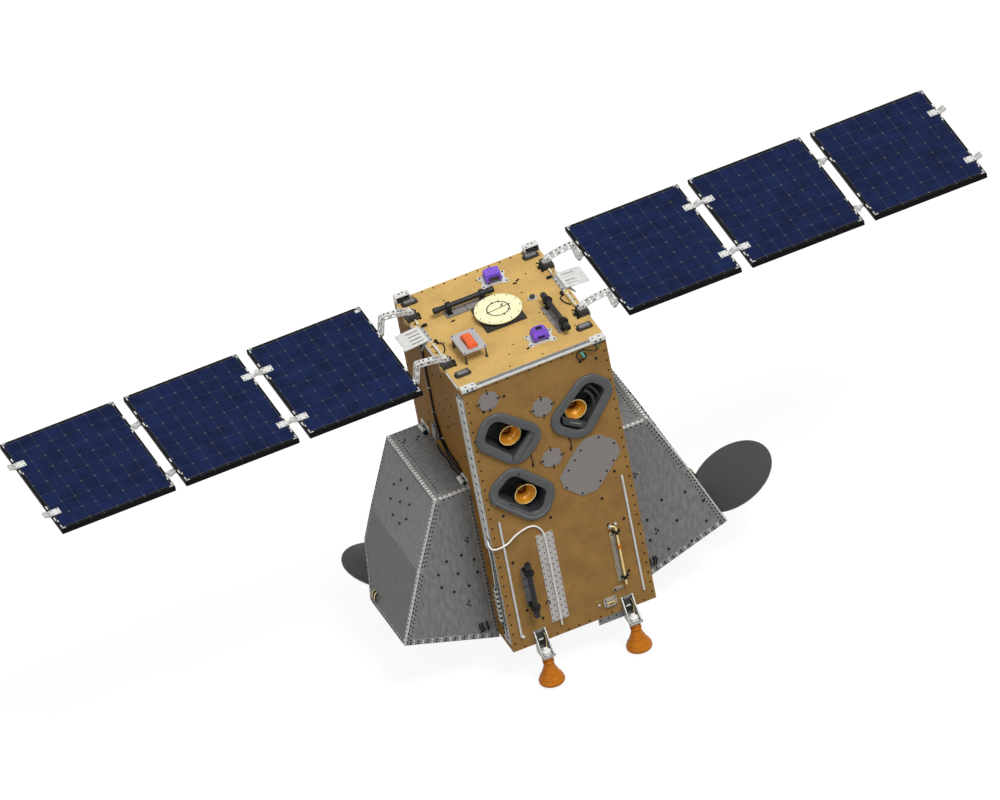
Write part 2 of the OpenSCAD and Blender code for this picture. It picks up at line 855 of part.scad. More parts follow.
// Shallow dish with its hollow side down, and the lug of the tilt hinge inside it
module dish(side, turn) {
    lug_r = dish_r - hinge_in;
    color([0.24, 0.24, 0.23]) on_swing(side, turn) difference() {
        union() {
            translate([dish_reach, 0, dish_rim_z]) difference() {
                intersection() {
                    cylinder(r = dish_r, h = 2 * dish_depth, $fn = 128);
                    translate([0, 0, dish_depth - dish_curve_r]) sphere(dish_curve_r + dish_t, $fn = 128);
                }
                translate([0, 0, dish_depth - dish_curve_r]) sphere(dish_curve_r, $fn = 128);
            }
            across(lug_w) hull() {
                translate([hinge_out, 0]) circle(9);
                translate([hinge_out - 13, hollow_z(lug_r + 13)]) square([26, dish_t / 2]);
            }
        }
        translate([hinge_out, 0, 0]) rotate([90, 0, 0])
            cylinder(d = pin_d + 2 * hinge_clear, h = yoke_w, center = true);
    }
}

top_deck();
base_deck();
front_panel();
back_panel();
side_panel(-1);  // left_panel
side_panel(1);  // right_panel
equipment_block();
launch_ring();
shroud(-1);  // left_shroud
shroud(1);  // right_shroud
shroud_fittings();
root_arms(-1);  // left_root_arms
root_arms(1);  // right_root_arms
arm_blocks();
wing_panel(-1, 0);  // left_wing_inner
wing_panel(-1, 1);  // left_wing_middle
wing_panel(-1, 2);  // left_wing_outer
wing_panel(1, 0);  // right_wing_inner
wing_panel(1, 1);  // right_wing_middle
wing_panel(1, 2);  // right_wing_outer
wing_fittings(-1, 0);  // left_inner_fittings
wing_fittings(-1, 1);  // left_middle_fittings
wing_fittings(-1, 2);  // left_outer_fittings
wing_fittings(1, 0);  // right_inner_fittings
wing_fittings(1, 1);  // right_middle_fittings
wing_fittings(1, 2);  // right_outer_fittings
edge_plates();
antenna_disc();
antenna_base();
deck_rod_rear();
deck_rod_right();
sun_sensors();
sensor_brackets();
instrument_table();
orange_unit();
deck_pads();
corner_brackets();
deck_rails();
funnel(0);  // funnel_upper_left
funnel(1);  // funnel_lower_left
funnel(2);  // funnel_right
horn_antennas();
access_covers();
front_rod();
front_rails();
front_tube();
thruster_brackets();
thruster_bells();
front_hose();
side_strip();
side_cable();
dish_posts();
dish_arm(-1, left_swing);  // left_dish_arm
dish_arm(1, right_swing);  // right_dish_arm
dish(-1, left_swing);  // left_dish
dish(1, right_swing);  // right_dish
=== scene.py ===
import math
import random

import bmesh
import bpy
from mathutils import Matrix, Vector


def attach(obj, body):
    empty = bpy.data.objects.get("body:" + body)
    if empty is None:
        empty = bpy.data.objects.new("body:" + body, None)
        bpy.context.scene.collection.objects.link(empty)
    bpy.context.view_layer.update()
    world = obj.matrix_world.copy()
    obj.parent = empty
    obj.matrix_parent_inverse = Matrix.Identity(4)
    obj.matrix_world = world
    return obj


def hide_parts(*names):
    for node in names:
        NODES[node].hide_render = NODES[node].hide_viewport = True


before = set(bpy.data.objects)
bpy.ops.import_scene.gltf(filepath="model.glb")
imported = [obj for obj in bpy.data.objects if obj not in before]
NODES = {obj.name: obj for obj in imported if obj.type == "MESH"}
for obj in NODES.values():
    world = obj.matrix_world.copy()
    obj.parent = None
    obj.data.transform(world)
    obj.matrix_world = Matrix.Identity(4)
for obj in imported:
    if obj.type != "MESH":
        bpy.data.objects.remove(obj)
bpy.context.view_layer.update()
SIDES = (("left", -1), ("right", 1))

# Sizes of the CAD part that the details follow, in millimetres about the middle of the deck's upper face
MM = 0.001
HALF_W, HALF_D, BODY_H = 330, 370, 1400
HINGES = (-165, 221)  # y of the wings' hinges
ROOT_PIVOT = (456, -20)  # outwards and up
PANEL_HALF_W, PANEL_HALF_D, PANEL_T = 260, 348, 25
PANEL_START, PANEL_PITCH, PANEL_Y, PANEL_TOP = 474, 567, 53, 19
CELLS, CELL_PITCH_X, CELL_PITCH_Y = 8, 62, 82
# The shrouds' outline (outwards, up), the corner where the rear cut starts, and front, rear and cut in y
A, B, C, D, E = (330, -617), (492, -617), (621, -937), (746, -1280), (330, -1420)
CUT_CORNER = (675.6, -1086.7)
SHROUD_FRONT, SHROUD_BACK, SHROUD_CUT = -211, 317, 160
SLOPE, SLOPE_DEGREES = 0.33654, 18.6
SWING_AXIS, LEAN, DISH_OUT = (536, 115, -1417), 20.6, 378
DISC, THRUSTER_X, THRUSTER_Z, RECESS_FLOOR = (10, 25), 202, -1441, -84
PARKED = {"left": 86, "right": -9}
RING_BOLT_R, RING_TOP = 193.5, 182

# ---- places


def at(x=0, y=0, z=0):
    return Matrix.Translation((x, y, z))


def turn(axis, degrees):
    return Matrix.Rotation(math.radians(degrees), 4, axis)


UPRIGHT, OVER = turn("X", 90), turn("X", 180)


def mirror(side):
    return Matrix.Diagonal((side, 1, 1, 1))


def axes(x, y, z, origin=(0, 0, 0)):
    """Frame with these axes and this origin."""
    m = Matrix((x, y, z)).transposed().to_4x4()
    m.translation = Vector(origin)
    return m


def plane(origin, x, y):
    """Frame with x and y in a face of the body and z out of it."""
    x, y = Vector(x), Vector(y)
    return DECK @ axes(x, y, x.cross(y), origin)


def circle(r, count, start=0, x=0, y=0):
    """Evenly spaced points on a circle, the first at this angle."""
    angles = [math.radians(start + 360 * i / count) for i in range(count)]
    return [(x + r * math.cos(t), y + r * math.sin(t)) for t in angles]


def corners(x, y, *z):
    """Four corners of a rectangle of half sizes x and y."""
    return [(sx * x, sy * y, *z) for sx in (-1, 1) for sy in (-1, 1)]


DECK = at(0, -0.075, 1.590) @ Matrix.Scale(MM, 4)
FRONT = plane((0, -HALF_D, 0), (1, 0, 0), (0, 0, 1))
BACK = plane((0, HALF_D, 0), (-1, 0, 0), (0, 0, 1))
LEFT = plane((-HALF_W, 0, 0), (0, -1, 0), (0, 0, 1))
RIGHT = plane((HALF_W, 0, 0), (0, 1, 0), (0, 0, 1))


# ---- mesh building


SHARP_DEGREES = 34


class Piece:
    """Collects closed shapes in one mesh."""

    def __init__(self):
        self.bm = bmesh.new()

    def _faces(self, m, points, faces, mat):
        verts = [self.bm.verts.new(m @ Vector(p)) for p in points]
        made = []
        for f in faces:
            made.append(self.bm.faces.new([verts[i] for i in f]))
            made[-1].material_index = mat
        return made

    def _bevel(self, faces, width):
        edges = {e for f in faces for e in f.edges}
        bmesh.ops.bevel(self.bm, geom=list(edges), offset=width * MM, segments=2, affect="EDGES",
            clamp_overlap=True)

    def box(self, m, lo, hi, mat=0, bevel=0):
        (a, b, c), (d, e, f) = lo, hi
        points = [(x, y, z) for z in (c, f) for y in (b, e) for x in (a, d)]
        faces = [(0, 2, 3, 1), (4, 5, 7, 6), (0, 1, 5, 4), (2, 6, 7, 3), (0, 4, 6, 2), (1, 3, 7, 5)]
        made = self._faces(m, points, faces, mat)
        if bevel:
            self._bevel(made, bevel)

    def prism(self, m, outline, z0, z1, mat=0, bevel=0, taper=1):
        n = len(outline)
        cx = sum(p[0] for p in outline) / n
        cy = sum(p[1] for p in outline) / n
        points = [(x, y, z0) for x, y in outline]
        points += [(cx + (x - cx) * taper, cy + (y - cy) * taper, z1) for x, y in outline]
        faces = [list(range(n))[::-1], list(range(n, 2 * n))]
        faces += [(i, (i + 1) % n, n + (i + 1) % n, n + i) for i in range(n)]
        made = self._faces(m, points, faces, mat)
        if bevel:
            self._bevel(made[:2], bevel)

    def rings(self, m, rings, mat=0, caps=(True, True), loop=False):
        """Skin over rings of the same number of points."""
        n, k = len(rings[0]), len(rings)
        points = [p for ring in rings for p in ring]
        faces = []
        for j in range(k if loop else k - 1):
            a, b = j * n, (j + 1) % k * n
            faces += [(a + i, a + (i + 1) % n, b + (i + 1) % n, b + i) for i in range(n)]
        if caps[0] and not loop:
            faces.append(list(range(n))[::-1])
        if caps[1] and not loop:
            faces.append(list(range((k - 1) * n, k * n)))
        self._faces(m, points, faces, mat)

    def lathe(self, m, profile, mat=0, sides=32, closed=False):
        """Profile of (radius, height) about z; open profiles start and end on flat caps."""
        rings = [[(x, y, z) for x, y in circle(max(r, 0.01), sides)] for r, z in profile]
        self.rings(m, rings, mat, loop=closed)

    def tube(self, m, path, radius, mat=0, sides=10):
        """Round tube along the points, with its cross-section carried on from point to point."""
        path = [Vector(p) for p in path]
        up = Vector((0.137, 0.291, 0.947))
        rings = []
        for i, p in enumerate(path):
            along = (path[min(i + 1, len(path) - 1)] - path[max(i - 1, 0)]).normalized()
            across = along.cross(up)
            if across.length < 1e-3:
                across = along.orthogonal()
            across.normalize()
            up = across.cross(along).normalized()
            rings.append([p + x * across + y * up for x, y in circle(radius, sides)])
        self.rings(m, rings, mat)

    def cable(self, m, points, radius, mat=0, sides=8, per=6):
        self.tube(m, smooth_path(points, per), radius, mat, sides)

    def rod(self, m, a, b, radius, mat=0, sides=12):
        self.tube(m, [a, b], radius, mat, sides)

    def bolts(self, m, places, r, h, mat=0, sides=6):
        """Small round or hexagonal heads standing on a face."""
        for x, y, *z in places:
            foot = z[0] if z else 0
            levels = ((r, foot), (r, foot + 0.7 * h), (0.7 * r, foot + h))
            self.rings(m, [[(*c, top) for c in circle(radius, sides, 0, x, y)] for radius, top in levels],
                mat)

    def done(self, name, materials, body="root", replaces=()):
        """Makes the object and hands it to the frame."""
        bmesh.ops.recalc_face_normals(self.bm, faces=self.bm.faces)
        limit = math.radians(SHARP_DEGREES)
        for f in self.bm.faces:
            f.smooth = True
        for e in self.bm.edges:
            if len(e.link_faces) == 2 and e.calc_face_angle(0) > limit:
                e.smooth = False
        mesh = bpy.data.meshes.new(name)
        self.bm.to_mesh(mesh)
        self.bm.free()
        obj = bpy.data.objects.new(name, mesh)
        bpy.context.scene.collection.objects.link(obj)
        for material in materials:
            mesh.materials.append(MAT[material])
        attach(obj, body)
        if replaces:
            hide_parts(*replaces)


def rounded(points, r, steps=9):
    """Outline of a convex polygon with round corners, always with the same number of points."""
    out, n = [], len(points)
    for i in range(n):
        p, before, after = points[i], points[i - 1], points[(i + 1) % n]
        a = math.atan2(p[1] - before[1], p[0] - before[0]) - math.pi / 2
        b = math.atan2(after[1] - p[1], after[0] - p[0]) - math.pi / 2
        b += 2 * math.pi * round((a - b) / (2 * math.pi))
        while b < a:
            b += 2 * math.pi
        for k in range(steps + 1):
            t = a + (b - a) * k / steps
            out.append((p[0] + r * math.cos(t), p[1] + r * math.sin(t)))
    return out


def rounded_box(w, d, r, steps=5):
    x0, y0, x1, y1 = r - w / 2, r - d / 2, w / 2 - r, d / 2 - r
    return rounded([(x0, y0), (x1, y0), (x1, y1), (x0, y1)], r, steps)


def spread(a, b, pitch):
    """Evenly spaced values from a to b at about this pitch."""
    n = max(1, round(abs(b - a) / pitch))
    return [a + (b - a) * i / n for i in range(n + 1)]


def smooth_path(points, per=6):
    """Catmull-Rom curve through the points."""
    pts = [Vector(p) for p in points]
    pts = [2 * pts[0] - pts[1]] + pts + [2 * pts[-1] - pts[-2]]
    out = []
    for i in range(1, len(pts) - 2):
        a, b, c, d = pts[i - 1:i + 3]
        for k in range(per):
            t = k / per
            out.append(0.5 * (2 * b + (c - a) * t + (2 * a - 5 * b + 4 * c - d) * t * t
                + (3 * b - a - 3 * c + d) * t ** 3))
    out.append(pts[-2])
    return out


# ---- materials

MAT = {}


def node(nt, kind, inputs=(), **settings):
    """Shader node with these settings; each input gets a value or a link."""
    made = nt.nodes.new("ShaderNode" + kind)
    for key, value in settings.items():
        setattr(made, key, value)
    for key, value in dict(inputs).items():
        if isinstance(value, bpy.types.NodeSocket):
            nt.links.new(value, made.inputs[key])
        else:
            made.inputs[key].default_value = value
    return made


def noise(nt, vector, scale, detail, rough=0.5):
    return node(nt, "TexNoise", {"Vector": vector, "Scale": scale, "Detail": detail,
        "Roughness": rough}).outputs["Fac"]


def remap(nt, value, a, b, low, high):
    """The range from a to b spread over low to high."""
    return node(nt, "MapRange", {"Value": value, "From Min": a, "From Max": b, "To Min": low,
        "To Max": high}).outputs[0]


def blend(nt, amount, first, second, mode="MIX"):
    return node(nt, "Mix", {0: amount, 6: first, 7: second}, data_type="RGBA", blend_type=mode).outputs[2]


def material(name, color, rough=0.5, metal=0, spec=0.5, mottle=0.12, scale=9, fleck=0, fleck_scale=160,
        bump=0.1):
    """Procedural finish: base colour with soft mottling, fine flecks, uneven gloss and a fine bump."""
    m = MAT[name] = bpy.data.materials.new(name)
    m.use_nodes = True
    nt = m.node_tree
    coord = node(nt, "TexCoord").outputs["Object"]
    stretch = scale if isinstance(scale, tuple) else (scale, scale, scale)
    soft = noise(nt, node(nt, "Mapping", {"Vector": coord, "Scale": stretch}).outputs[0], 1, 6, 0.62)
    result = blend(nt, 1, (*color, 1), remap(nt, soft, 0.3, 0.7, 1 - mottle, 1 + mottle), "MULTIPLY")
    if fleck:
        grain = noise(nt, coord, fleck_scale, 2)
        light = (*[min(1, 2.2 * c + 0.12) for c in color], 1)
        dark = (*[0.35 * c for c in color], 1)
        result = blend(nt, remap(nt, grain, 0.68, 0.74, 0, fleck), result, light)
        result = blend(nt, remap(nt, grain, 0.33, 0.27, 0, fleck), result, dark)
    gloss = remap(nt, soft, 0.3, 0.7, max(0.05, rough - 0.07), min(1, rough + 0.07))
    fine = node(nt, "Bump", {"Strength": bump, "Distance": 0.001, "Height": noise(nt, coord, 240, 3)})
    shader = nt.nodes["Principled BSDF"].inputs
    for key, value in (("Metallic", metal), ("Specular IOR Level", spec)):
        shader[key].default_value = value
    for key, socket in (("Base Color", result), ("Roughness", gloss), ("Normal", fine.outputs[0])):
        nt.links.new(socket, shader[key])


# name, colour, roughness, metallic, specular, mottling, its scale, flecks, their scale, bump
FINISHES = (
    # the deck's lighter tan and the body's darker tan are partly painted light and shade (the top face lit,
    # the upright faces shaded) and partly the front's own browner tone
    ("deck_tan", (0.6, 0.385, 0.125), 0.62, 0, 0.2, 0.14, 9, 0.6, 160, 0.25),
    ("body_tan", (0.335, 0.185, 0.054), 0.62, 0, 0.2, 0.2, 9, 0.6, 160, 0.25),
    # this tan: a darker copy of the body tan for the left panel only, painted shade on the side turned away
    # from the key light
    ("shaded_side_tan", (0.31, 0.148, 0.03), 0.62, 0, 0.08, 0.22, 9, 0.5, 160, 0.25),
    ("shroud_grey", (0.205, 0.205, 0.202), 0.5, 0.2, 0.35, 0.34, (70, 70, 22), 0.35, 260, 0.3),
    # this grey: a darker copy of the shroud grey, painted shadow on the lower outer faces of the shrouds; one
    # shroud cable also uses it
    ("shroud_shadow_and_cable_grey", (0.13, 0.13, 0.128), 0.5, 0.2, 0.35, 0.32, (70, 70, 22), 0.3, 260, 0.3),
    ("bright_strip", (0.8, 0.8, 0.78), 0.38, 0.1, 0.5, 0.16, 40, 0, 160, 0.15),
    ("strip_grey", (0.235, 0.235, 0.23), 0.45, 0.2, 0.35, 0.3, 40, 0, 160, 0.2),
    ("bare_metal", (0.42, 0.42, 0.41), 0.4, 0.4, 0.5, 0.15, 30, 0, 160, 0.15),
    ("white_metal", (0.68, 0.68, 0.66), 0.4, 0.25, 0.5, 0.12, 40, 0, 160, 0.12),
    ("dark_metal", (0.045, 0.044, 0.042), 0.5, 0, 0.25, 0.2, 40, 0, 160, 0.2),
    ("mid_metal", (0.2, 0.2, 0.2), 0.45, 0.3, 0.5, 0.18, 40, 0, 160, 0.2),
    ("black", (0.01, 0.01, 0.01), 0.5, 0, 0.12, 0.2, 60, 0, 160, 0.15),
    ("panel_black", (0.006, 0.006, 0.007), 0.55, 0, 0.05, 0.25, 30, 0, 160, 0.2),
    ("cells", (0.0075, 0.0145, 0.056), 0.45, 0, 0.03, 0.4, 14, 0.1, 420, 0.05),
    ("laminate", (0.04, 0.046, 0.066), 0.5, 0, 0.05, 0.25, 50, 0, 160, 0.2),
    ("star", (0.17, 0.17, 0.17), 0.45, 0, 0.1, 0.3, 90, 0, 160, 0.1),
    ("cream_cover", (0.9, 0.88, 0.56), 0.6, 0, 0.2, 0.05, 30, 0.1, 160, 0.1),
    ("black_rod", (0.013, 0.013, 0.013), 0.42, 0, 0.25, 0.2, 40, 0, 160, 0.12),
    ("purple_anodised", (0.2, 0.075, 0.62), 0.36, 0, 0.5, 0.14, 60, 0, 160, 0.1),
    ("purple_dark", (0.09, 0.03, 0.3), 0.4, 0, 0.5, 0.14, 60, 0, 160, 0.1),
    ("orange_plastic", (0.8, 0.13, 0.025), 0.4, 0, 0.4, 0.08, 60, 0, 160, 0.1),
    ("grey_plate", (0.27, 0.245, 0.23), 0.5, 0.1, 0.3, 0.05, 20, 0.12, 400, 0.1),
    ("table_grey", (0.44, 0.43, 0.44), 0.45, 0.2, 0.5, 0.05, 20, 0, 160, 0.1),
    ("pierced_plate", (0.52, 0.49, 0.46), 0.5, 0.15, 0.5, 0.06, 20, 0.15, 160, 0.1),
    ("funnel_grey", (0.085, 0.09, 0.092), 0.5, 0, 0.4, 0.16, 20, 0.1, 160, 0.2),
    ("funnel_dark", (0.033, 0.036, 0.04), 0.5, 0, 0.3, 0.2, 20, 0, 160, 0.2),
    # this gold: a darker copy of the horn gold, painted shade in the horns' throats deep in the recesses
    ("horn_throat_shade", (0.24, 0.08, 0.006), 0.45, 0.1, 0.5, 0.2, 60, 0, 160, 0.1),
    ("gold_metal", (0.62, 0.27, 0.012), 0.38, 0.25, 0.5, 0.12, 60, 0, 160, 0.1),
    ("pale_gold", (0.78, 0.62, 0.26), 0.35, 0.6, 0.5, 0.12, 60, 0, 160, 0.1),
    ("copper_gold", (0.5, 0.15, 0.002), 0.4, 0.1, 0.25, 0.16, 50, 0, 160, 0.15),
    ("white_hose", (0.86, 0.86, 0.82), 0.5, 0, 0.3, 0.05, 60, 0, 160, 0.1),
    ("black_cable", (0.008, 0.008, 0.008), 0.5, 0, 0.15, 0.2, 60, 0, 160, 0.15),
    ("dish_grey", (0.052, 0.051, 0.049), 0.55, 0, 0.35, 0.06, 8, 0, 160, 0.1),
    ("teal", (0.1, 0.42, 0.36), 0.3, 0, 0.5, 0.1, 80, 0, 160, 0.05),
    ("green", (0.12, 0.2, 0.02), 0.4, 0, 0.5, 0.1, 80, 0, 160, 0.05),
)
for finish in FINISHES:
    material(*finish)

PARTS = ("inner", "middle", "outer")
PLAIN = {
    # deck and body tans: partly painted light on the top and shade on the upright faces, partly the front's
    # own browner tone
    "deck_tan": ["top_deck"],
    "body_tan": ["front_panel", "back_panel", "right_panel", "base_deck"],
    # the left panel gets the darker tan as painted shade
    "shaded_side_tan": ["left_panel"],
    "shroud_grey": ["left_shroud", "right_shroud"],
    "bare_metal": ["launch_ring", "shroud_fittings", "side_strip"],
    "mid_metal": ["equipment_block"],
    "white_metal": ["corner_brackets", "deck_rails", "edge_plates"]
    + [f"{side}_{part}_fittings" for side, _ in SIDES for part in PARTS],
    "dark_metal": ["arm_blocks", "antenna_base", "deck_pads", "dish_posts"]
    + [f"{side}_dish_arm" for side, _ in SIDES],
    "dish_grey": ["left_dish", "right_dish"],
    "pierced_plate": ["front_rails"],
}
for name, members in PLAIN.items():
    for member in members:
        mesh = NODES[member].data
        mesh.materials.clear()
        mesh.materials.append(MAT[name])

# ---- body: bolts along the edges of every face

p = Piece()
edge = [(x, s * 358) for s in (-1, 1) for x in spread(-255, 255, 52)]
edge += [(s * 318, y) for s in (-1, 1) for y in spread(-110, 170, 48)]
p.bolts(DECK, edge, 4.2, 2.6)
for m, half in ((FRONT, 316), (BACK, 316), (LEFT, 356), (RIGHT, 356)):
    for s in (-1, 1):
        p.bolts(m, [(s * half, z) for z in spread(-70, -1360, 52)], 4.2, 2.6)
    p.bolts(m, [(x, z) for z in (-22, -1388) for x in spread(-half + 40, half - 40, 52)], 3.8, 2.6)
loose = [(-154, -104), (-253, -143), (256, -688), (180, -800), (257, -942), (-258, -697), (-56, -795),
    (-257, -949), (184, -943), (158, -1279), (-236, -1214), (-174, -1283), (234, -1212), (201, -78),
    (272, -92)]
p.bolts(FRONT, loose, 6.5, 3.5, sides=8)
rng = random.Random(7)
for m, half in ((LEFT, 340), (RIGHT, 340)):
    p.bolts(m, [(rng.uniform(-half + 90, half - 30), rng.uniform(-590, -70)) for _ in range(14)], 4.5, 3)
p.bolts(DECK, [(-150, 250), (20, 300), (215, 220), (150, 110), (-20, -200), (-60, -250), (170, -80),
    (160, -60), (-262, -20), (250, -230), (60, -330), (-90, -330)], 3.6, 2.4)
p.bolts(DECK @ OVER @ at(0, 0, BODY_H), [(x, s * 355) for s in (-1, 1) for x in spread(-300, 300, 60)]
    + [(s * 315, y) for s in (-1, 1) for y in spread(-300, 300, 60)], 4.2, 3)
p.done("body_bolts", ["black"])

# ---- solar panels


def solar_panel(side_name, side, index):
    """Frame, cells, clips and rear harness of one panel, and the bolts of its hinge plates."""
    part = PARTS[index]
    w, d = PANEL_HALF_W, PANEL_HALF_D
    m = DECK @ at(side * (PANEL_START + w + PANEL_PITCH * index), PANEL_Y, PANEL_TOP)
    under = m @ at(0, 0, -PANEL_T) @ OVER
    p = Piece()
    p.box(m, (-w, -d, -PANEL_T), (w, d, -1), 0, 2)
    p.box(m, (10 - w, 17 - d, -1.6), (w - 10, d - 17, -0.6), 1)
    cw, cd, c = 29.9, 39.7, 5.5  # half a cell and its cut corners
    cell = [(-cw + c, -cd), (cw - c, -cd), (cw, -cd + c), (cw, cd - c), (cw - c, cd), (-cw + c, cd),
        (-cw, cd - c), (-cw, -cd + c)]
    middle = (CELLS - 1) / 2
    for i in range(CELLS):
        for j in range(CELLS):
            x, y = (i - middle) * CELL_PITCH_X, (j - middle) * CELL_PITCH_Y
            p.prism(m, [(x + a, y + b) for a, b in cell], -0.7, -0.1, 2)
    for i in range(CELLS + 1):
        for j in range(CELLS + 1):
            x, y = (i - CELLS / 2) * CELL_PITCH_X, (j - CELLS / 2) * CELL_PITCH_Y
            if 0 < i < CELLS and 0 < j < CELLS:
                for a, b in ((5, 0.8), (0.8, 5)):
                    p.prism(m, [(x - a, y), (x, y - b), (x + a, y), (x, y + b)], -0.6, 0, 3)
            elif (i + j) % 2 == 0:
                p.box(m, (x - 2, y - 2, -1.1), (x + 2, y + 2, -0.3), 3)
    # clips beside the hinges and at the corners, on the upper face
    for s in (-1, 1):
        for hinge in HINGES:
            y = hinge - PANEL_Y
            x = s * (w - 4)
            for clip in (y - 46, y + 46):
                p.box(m, (x - 4, clip - 12, -1), (x + (2 if s < 0 else 4), clip + 12, 1.4), 4, 0.4)
            p.box(m, (s * 251 - 3, y - 70, -1), (s * 251 + 3, y - 60, 1), 4)
        for t in (-1, 1):
            p.box(m, (s * 246 - 9, t * 338 - 2.5, -1.1), (s * 246 + 9, t * 338 + 2.5, 0.9), 4, 0.3)
            p.box(m, (s * 252 - 2.5, t * 322 - 9, -1.1), (s * 252 + 2.5, t * 322 + 9, 0.9), 4, 0.3)
    p.bolts(m, [(x, t * 341, -1) for t in (-1, 1) for x in spread(-186, 186, CELL_PITCH_X)], 2.2, 0.9, 3)
    # underside: edge frame, centre rib, harness with clips
    for t in (-1, 1):
        p.box(under, (-250, t * 336 - 6, -0.2), (250, t * 336 + 6, 0.8), 5)
        p.box(under, (t * 250 - 6, -330, -0.2), (t * 250 + 6, 330, 0.8), 5)
    p.box(under, (-240, -4, -0.2), (240, 4, 0.8), 5)
    for x in (-124, 0, 124):
        bends = ((0, -300, 1.4), (6, -150, 1.4), (-4, 0, 1.6), (5, 150, 1.4), (0, 300, 1.4))
        p.cable(under, [(x + dx, y, z) for dx, y, z in bends], 1.4, 6, 6, 5)
        for y in (-240, -80, 80, 240):
            p.box(under, (x - 9, y - 4, -0.2), (x + 11, y + 4, 3), 4, 0.3)
    mats = ["panel_black", "laminate", "cells", "star", "white_metal", "mid_metal", "black_cable"]
    p.done(f"{side_name}_{part}_solar", mats, f"{side_name}_{part}_panel",
        (f"{side_name}_wing_{part}",))

    q = Piece()
    for hinge in HINGES:
        for gap, s in ((index, -1), (index + 1, 1)):
            # the hinges lie under the gaps 0 and 2 and above the gaps 1 and 3
            face, flip = (m, 1) if gap in (1, 3) else (under, -1)
            heads = [(side * s * (w - x), flip * (hinge - PANEL_Y) + y, 2) for x in (8, 36)
                for y in (-13, 13)]
            q.bolts(face, heads, 3, 1.2)
    q.done(f"{side_name}_{part}_hinge_bolts", ["black"], f"{side_name}_{part}_panel")


for side_name, side in SIDES:
    for index in range(3):
        solar_panel(side_name, side, index)

p = Piece()
p.box(DECK @ at(-PANEL_START - 22, PANEL_Y + PANEL_HALF_D - 30, PANEL_TOP), (-9, -9, -1), (9, 9, 0.9), 0, 0.4)
p.done("panel_tag", ["white_metal"], "left_inner_panel")

# ---- root arms

ARM_OUTER, ARM_INNER = 12.6, 7.6  # faces of an arm's two cheeks, from its middle
for side_name, side in SIDES:
    p = Piece()
    for y in HINGES:
        m = DECK @ mirror(side) @ at(0, y, 0) @ UPRIGHT  # x outwards, y up, z towards the front
        knots = [(317, 38), (371.6, 50), (440, 58), ROOT_PIVOT]
        p.box(m, (297, 24, -12.8), (329, 30, 12.8), 0, 1)
        p.box(m, (305, 28, -10), (327, 40, 10), 0, 1.5)
        for s in (-1, 1):
            z0, z1 = sorted((s * ARM_INNER, s * ARM_OUTER))
            for i, (x, z) in enumerate(knots):
                r = 11 if i in (0, 3) else 10.4
                p.lathe(m @ at(x, z, z0), [(r - 1, 0), (r, 1), (r, z1 - z0 - 1), (r - 1, z1 - z0)], 0, 20)
            for (xa, za), (xb, zb) in zip(knots, knots[1:]):
                length = math.hypot(xb - xa, zb - za)
                seg = m @ at(xa, za, 0) @ turn("Z", math.degrees(math.atan2(zb - za, xb - xa)))
                for v in (-1, 1):
                    p.box(seg, (0, v * 8.2 - 2.6, z0 + 0.4), (length, v * 8.2 + 2.6, z1 - 0.4), 0, 0.6)
                p.box(seg, (length / 2 - 9, -7, z0 + 0.6), (length / 2 + 9, 7, z1 - 0.6), 0, 0.5)
            p.bolts(m @ at(0, 0, s * ARM_OUTER) @ turn("X", 90 - 90 * s), [(x, s * z) for x, z in knots[:3]],
                3.4, 1.6, 1)
        for x, z in knots[:3]:
            p.rod(m, (x, z, -8), (x, z, 8), 5, 0, 14)
        p.rod(m, (*ROOT_PIVOT, -14.6), (*ROOT_PIVOT, 14.6), 4, 2, 16)
        for z in (-14.9, 12.7):
            p.lathe(m @ at(*ROOT_PIVOT, z), [(5.6, 0), (6.4, 0.6), (6.4, 1.6), (5.6, 2.2)], 2, 12)
        top = m @ at(371.6, 50, 0) @ turn("Z", 6.7)
        p.box(top, (0, 9.6, -ARM_OUTER), (69, 11.4, ARM_OUTER), 0, 0.5)
        for x in (14, 38, 58):
            p.lathe(top @ at(x, 11, 0) @ turn("X", -90), [(3.2, 0), (3.6, 1), (3.6, 4), (2.4, 5)], 1, 10)
        p.rod(m, (346, 58, -6), (346, 58, 6), 3.4, 2, 10)
        p.bolts(DECK @ mirror(side) @ at(313, y, 30), [(-12, -9), (-12, 9), (8, -9.5), (8, 9.5)], 3.2, 2.4, 1)
    p.done(f"{side_name}_arms", ["white_metal", "black", "bare_metal"], "root",
        (f"{side_name}_root_arms",))

p = Piece()
for side_name, side in SIDES:
    for y in HINGES:
        m = DECK @ mirror(side) @ at(313, y, 0)
        p.box(m, (-25, -30, 0), (25, 30, 4.5), 0, 1)
        p.bolts(m, corners(21, 27, 4.5) + [(-21, 0, 4.5)], 3.6, 2.6, 1)
        for sy in (-1, 1):
            p.box(m, (-18, sy * 24 - 5, 4), (10, sy * 24 + 5, 17), 0, 1.2)
            p.rod(m, (-31, sy * 20, 5), (-31, sy * 33, 5), 5, 1, 10)
        p.bolts(m @ at(0, 0, 24), [(-18, -18), (-18, 18)], 3.4, 2.4, 1)
        p.box(m, (-40, -9, 0), (-24, 9, 9), 1, 1.2)
        p.rod(m, (-34, 10, 5), (-34, 24, 5), 4, 2, 10)
p.done("arm_block_details", ["dark_metal", "black", "pale_gold"])

# ---- plates and tubes beside the deck

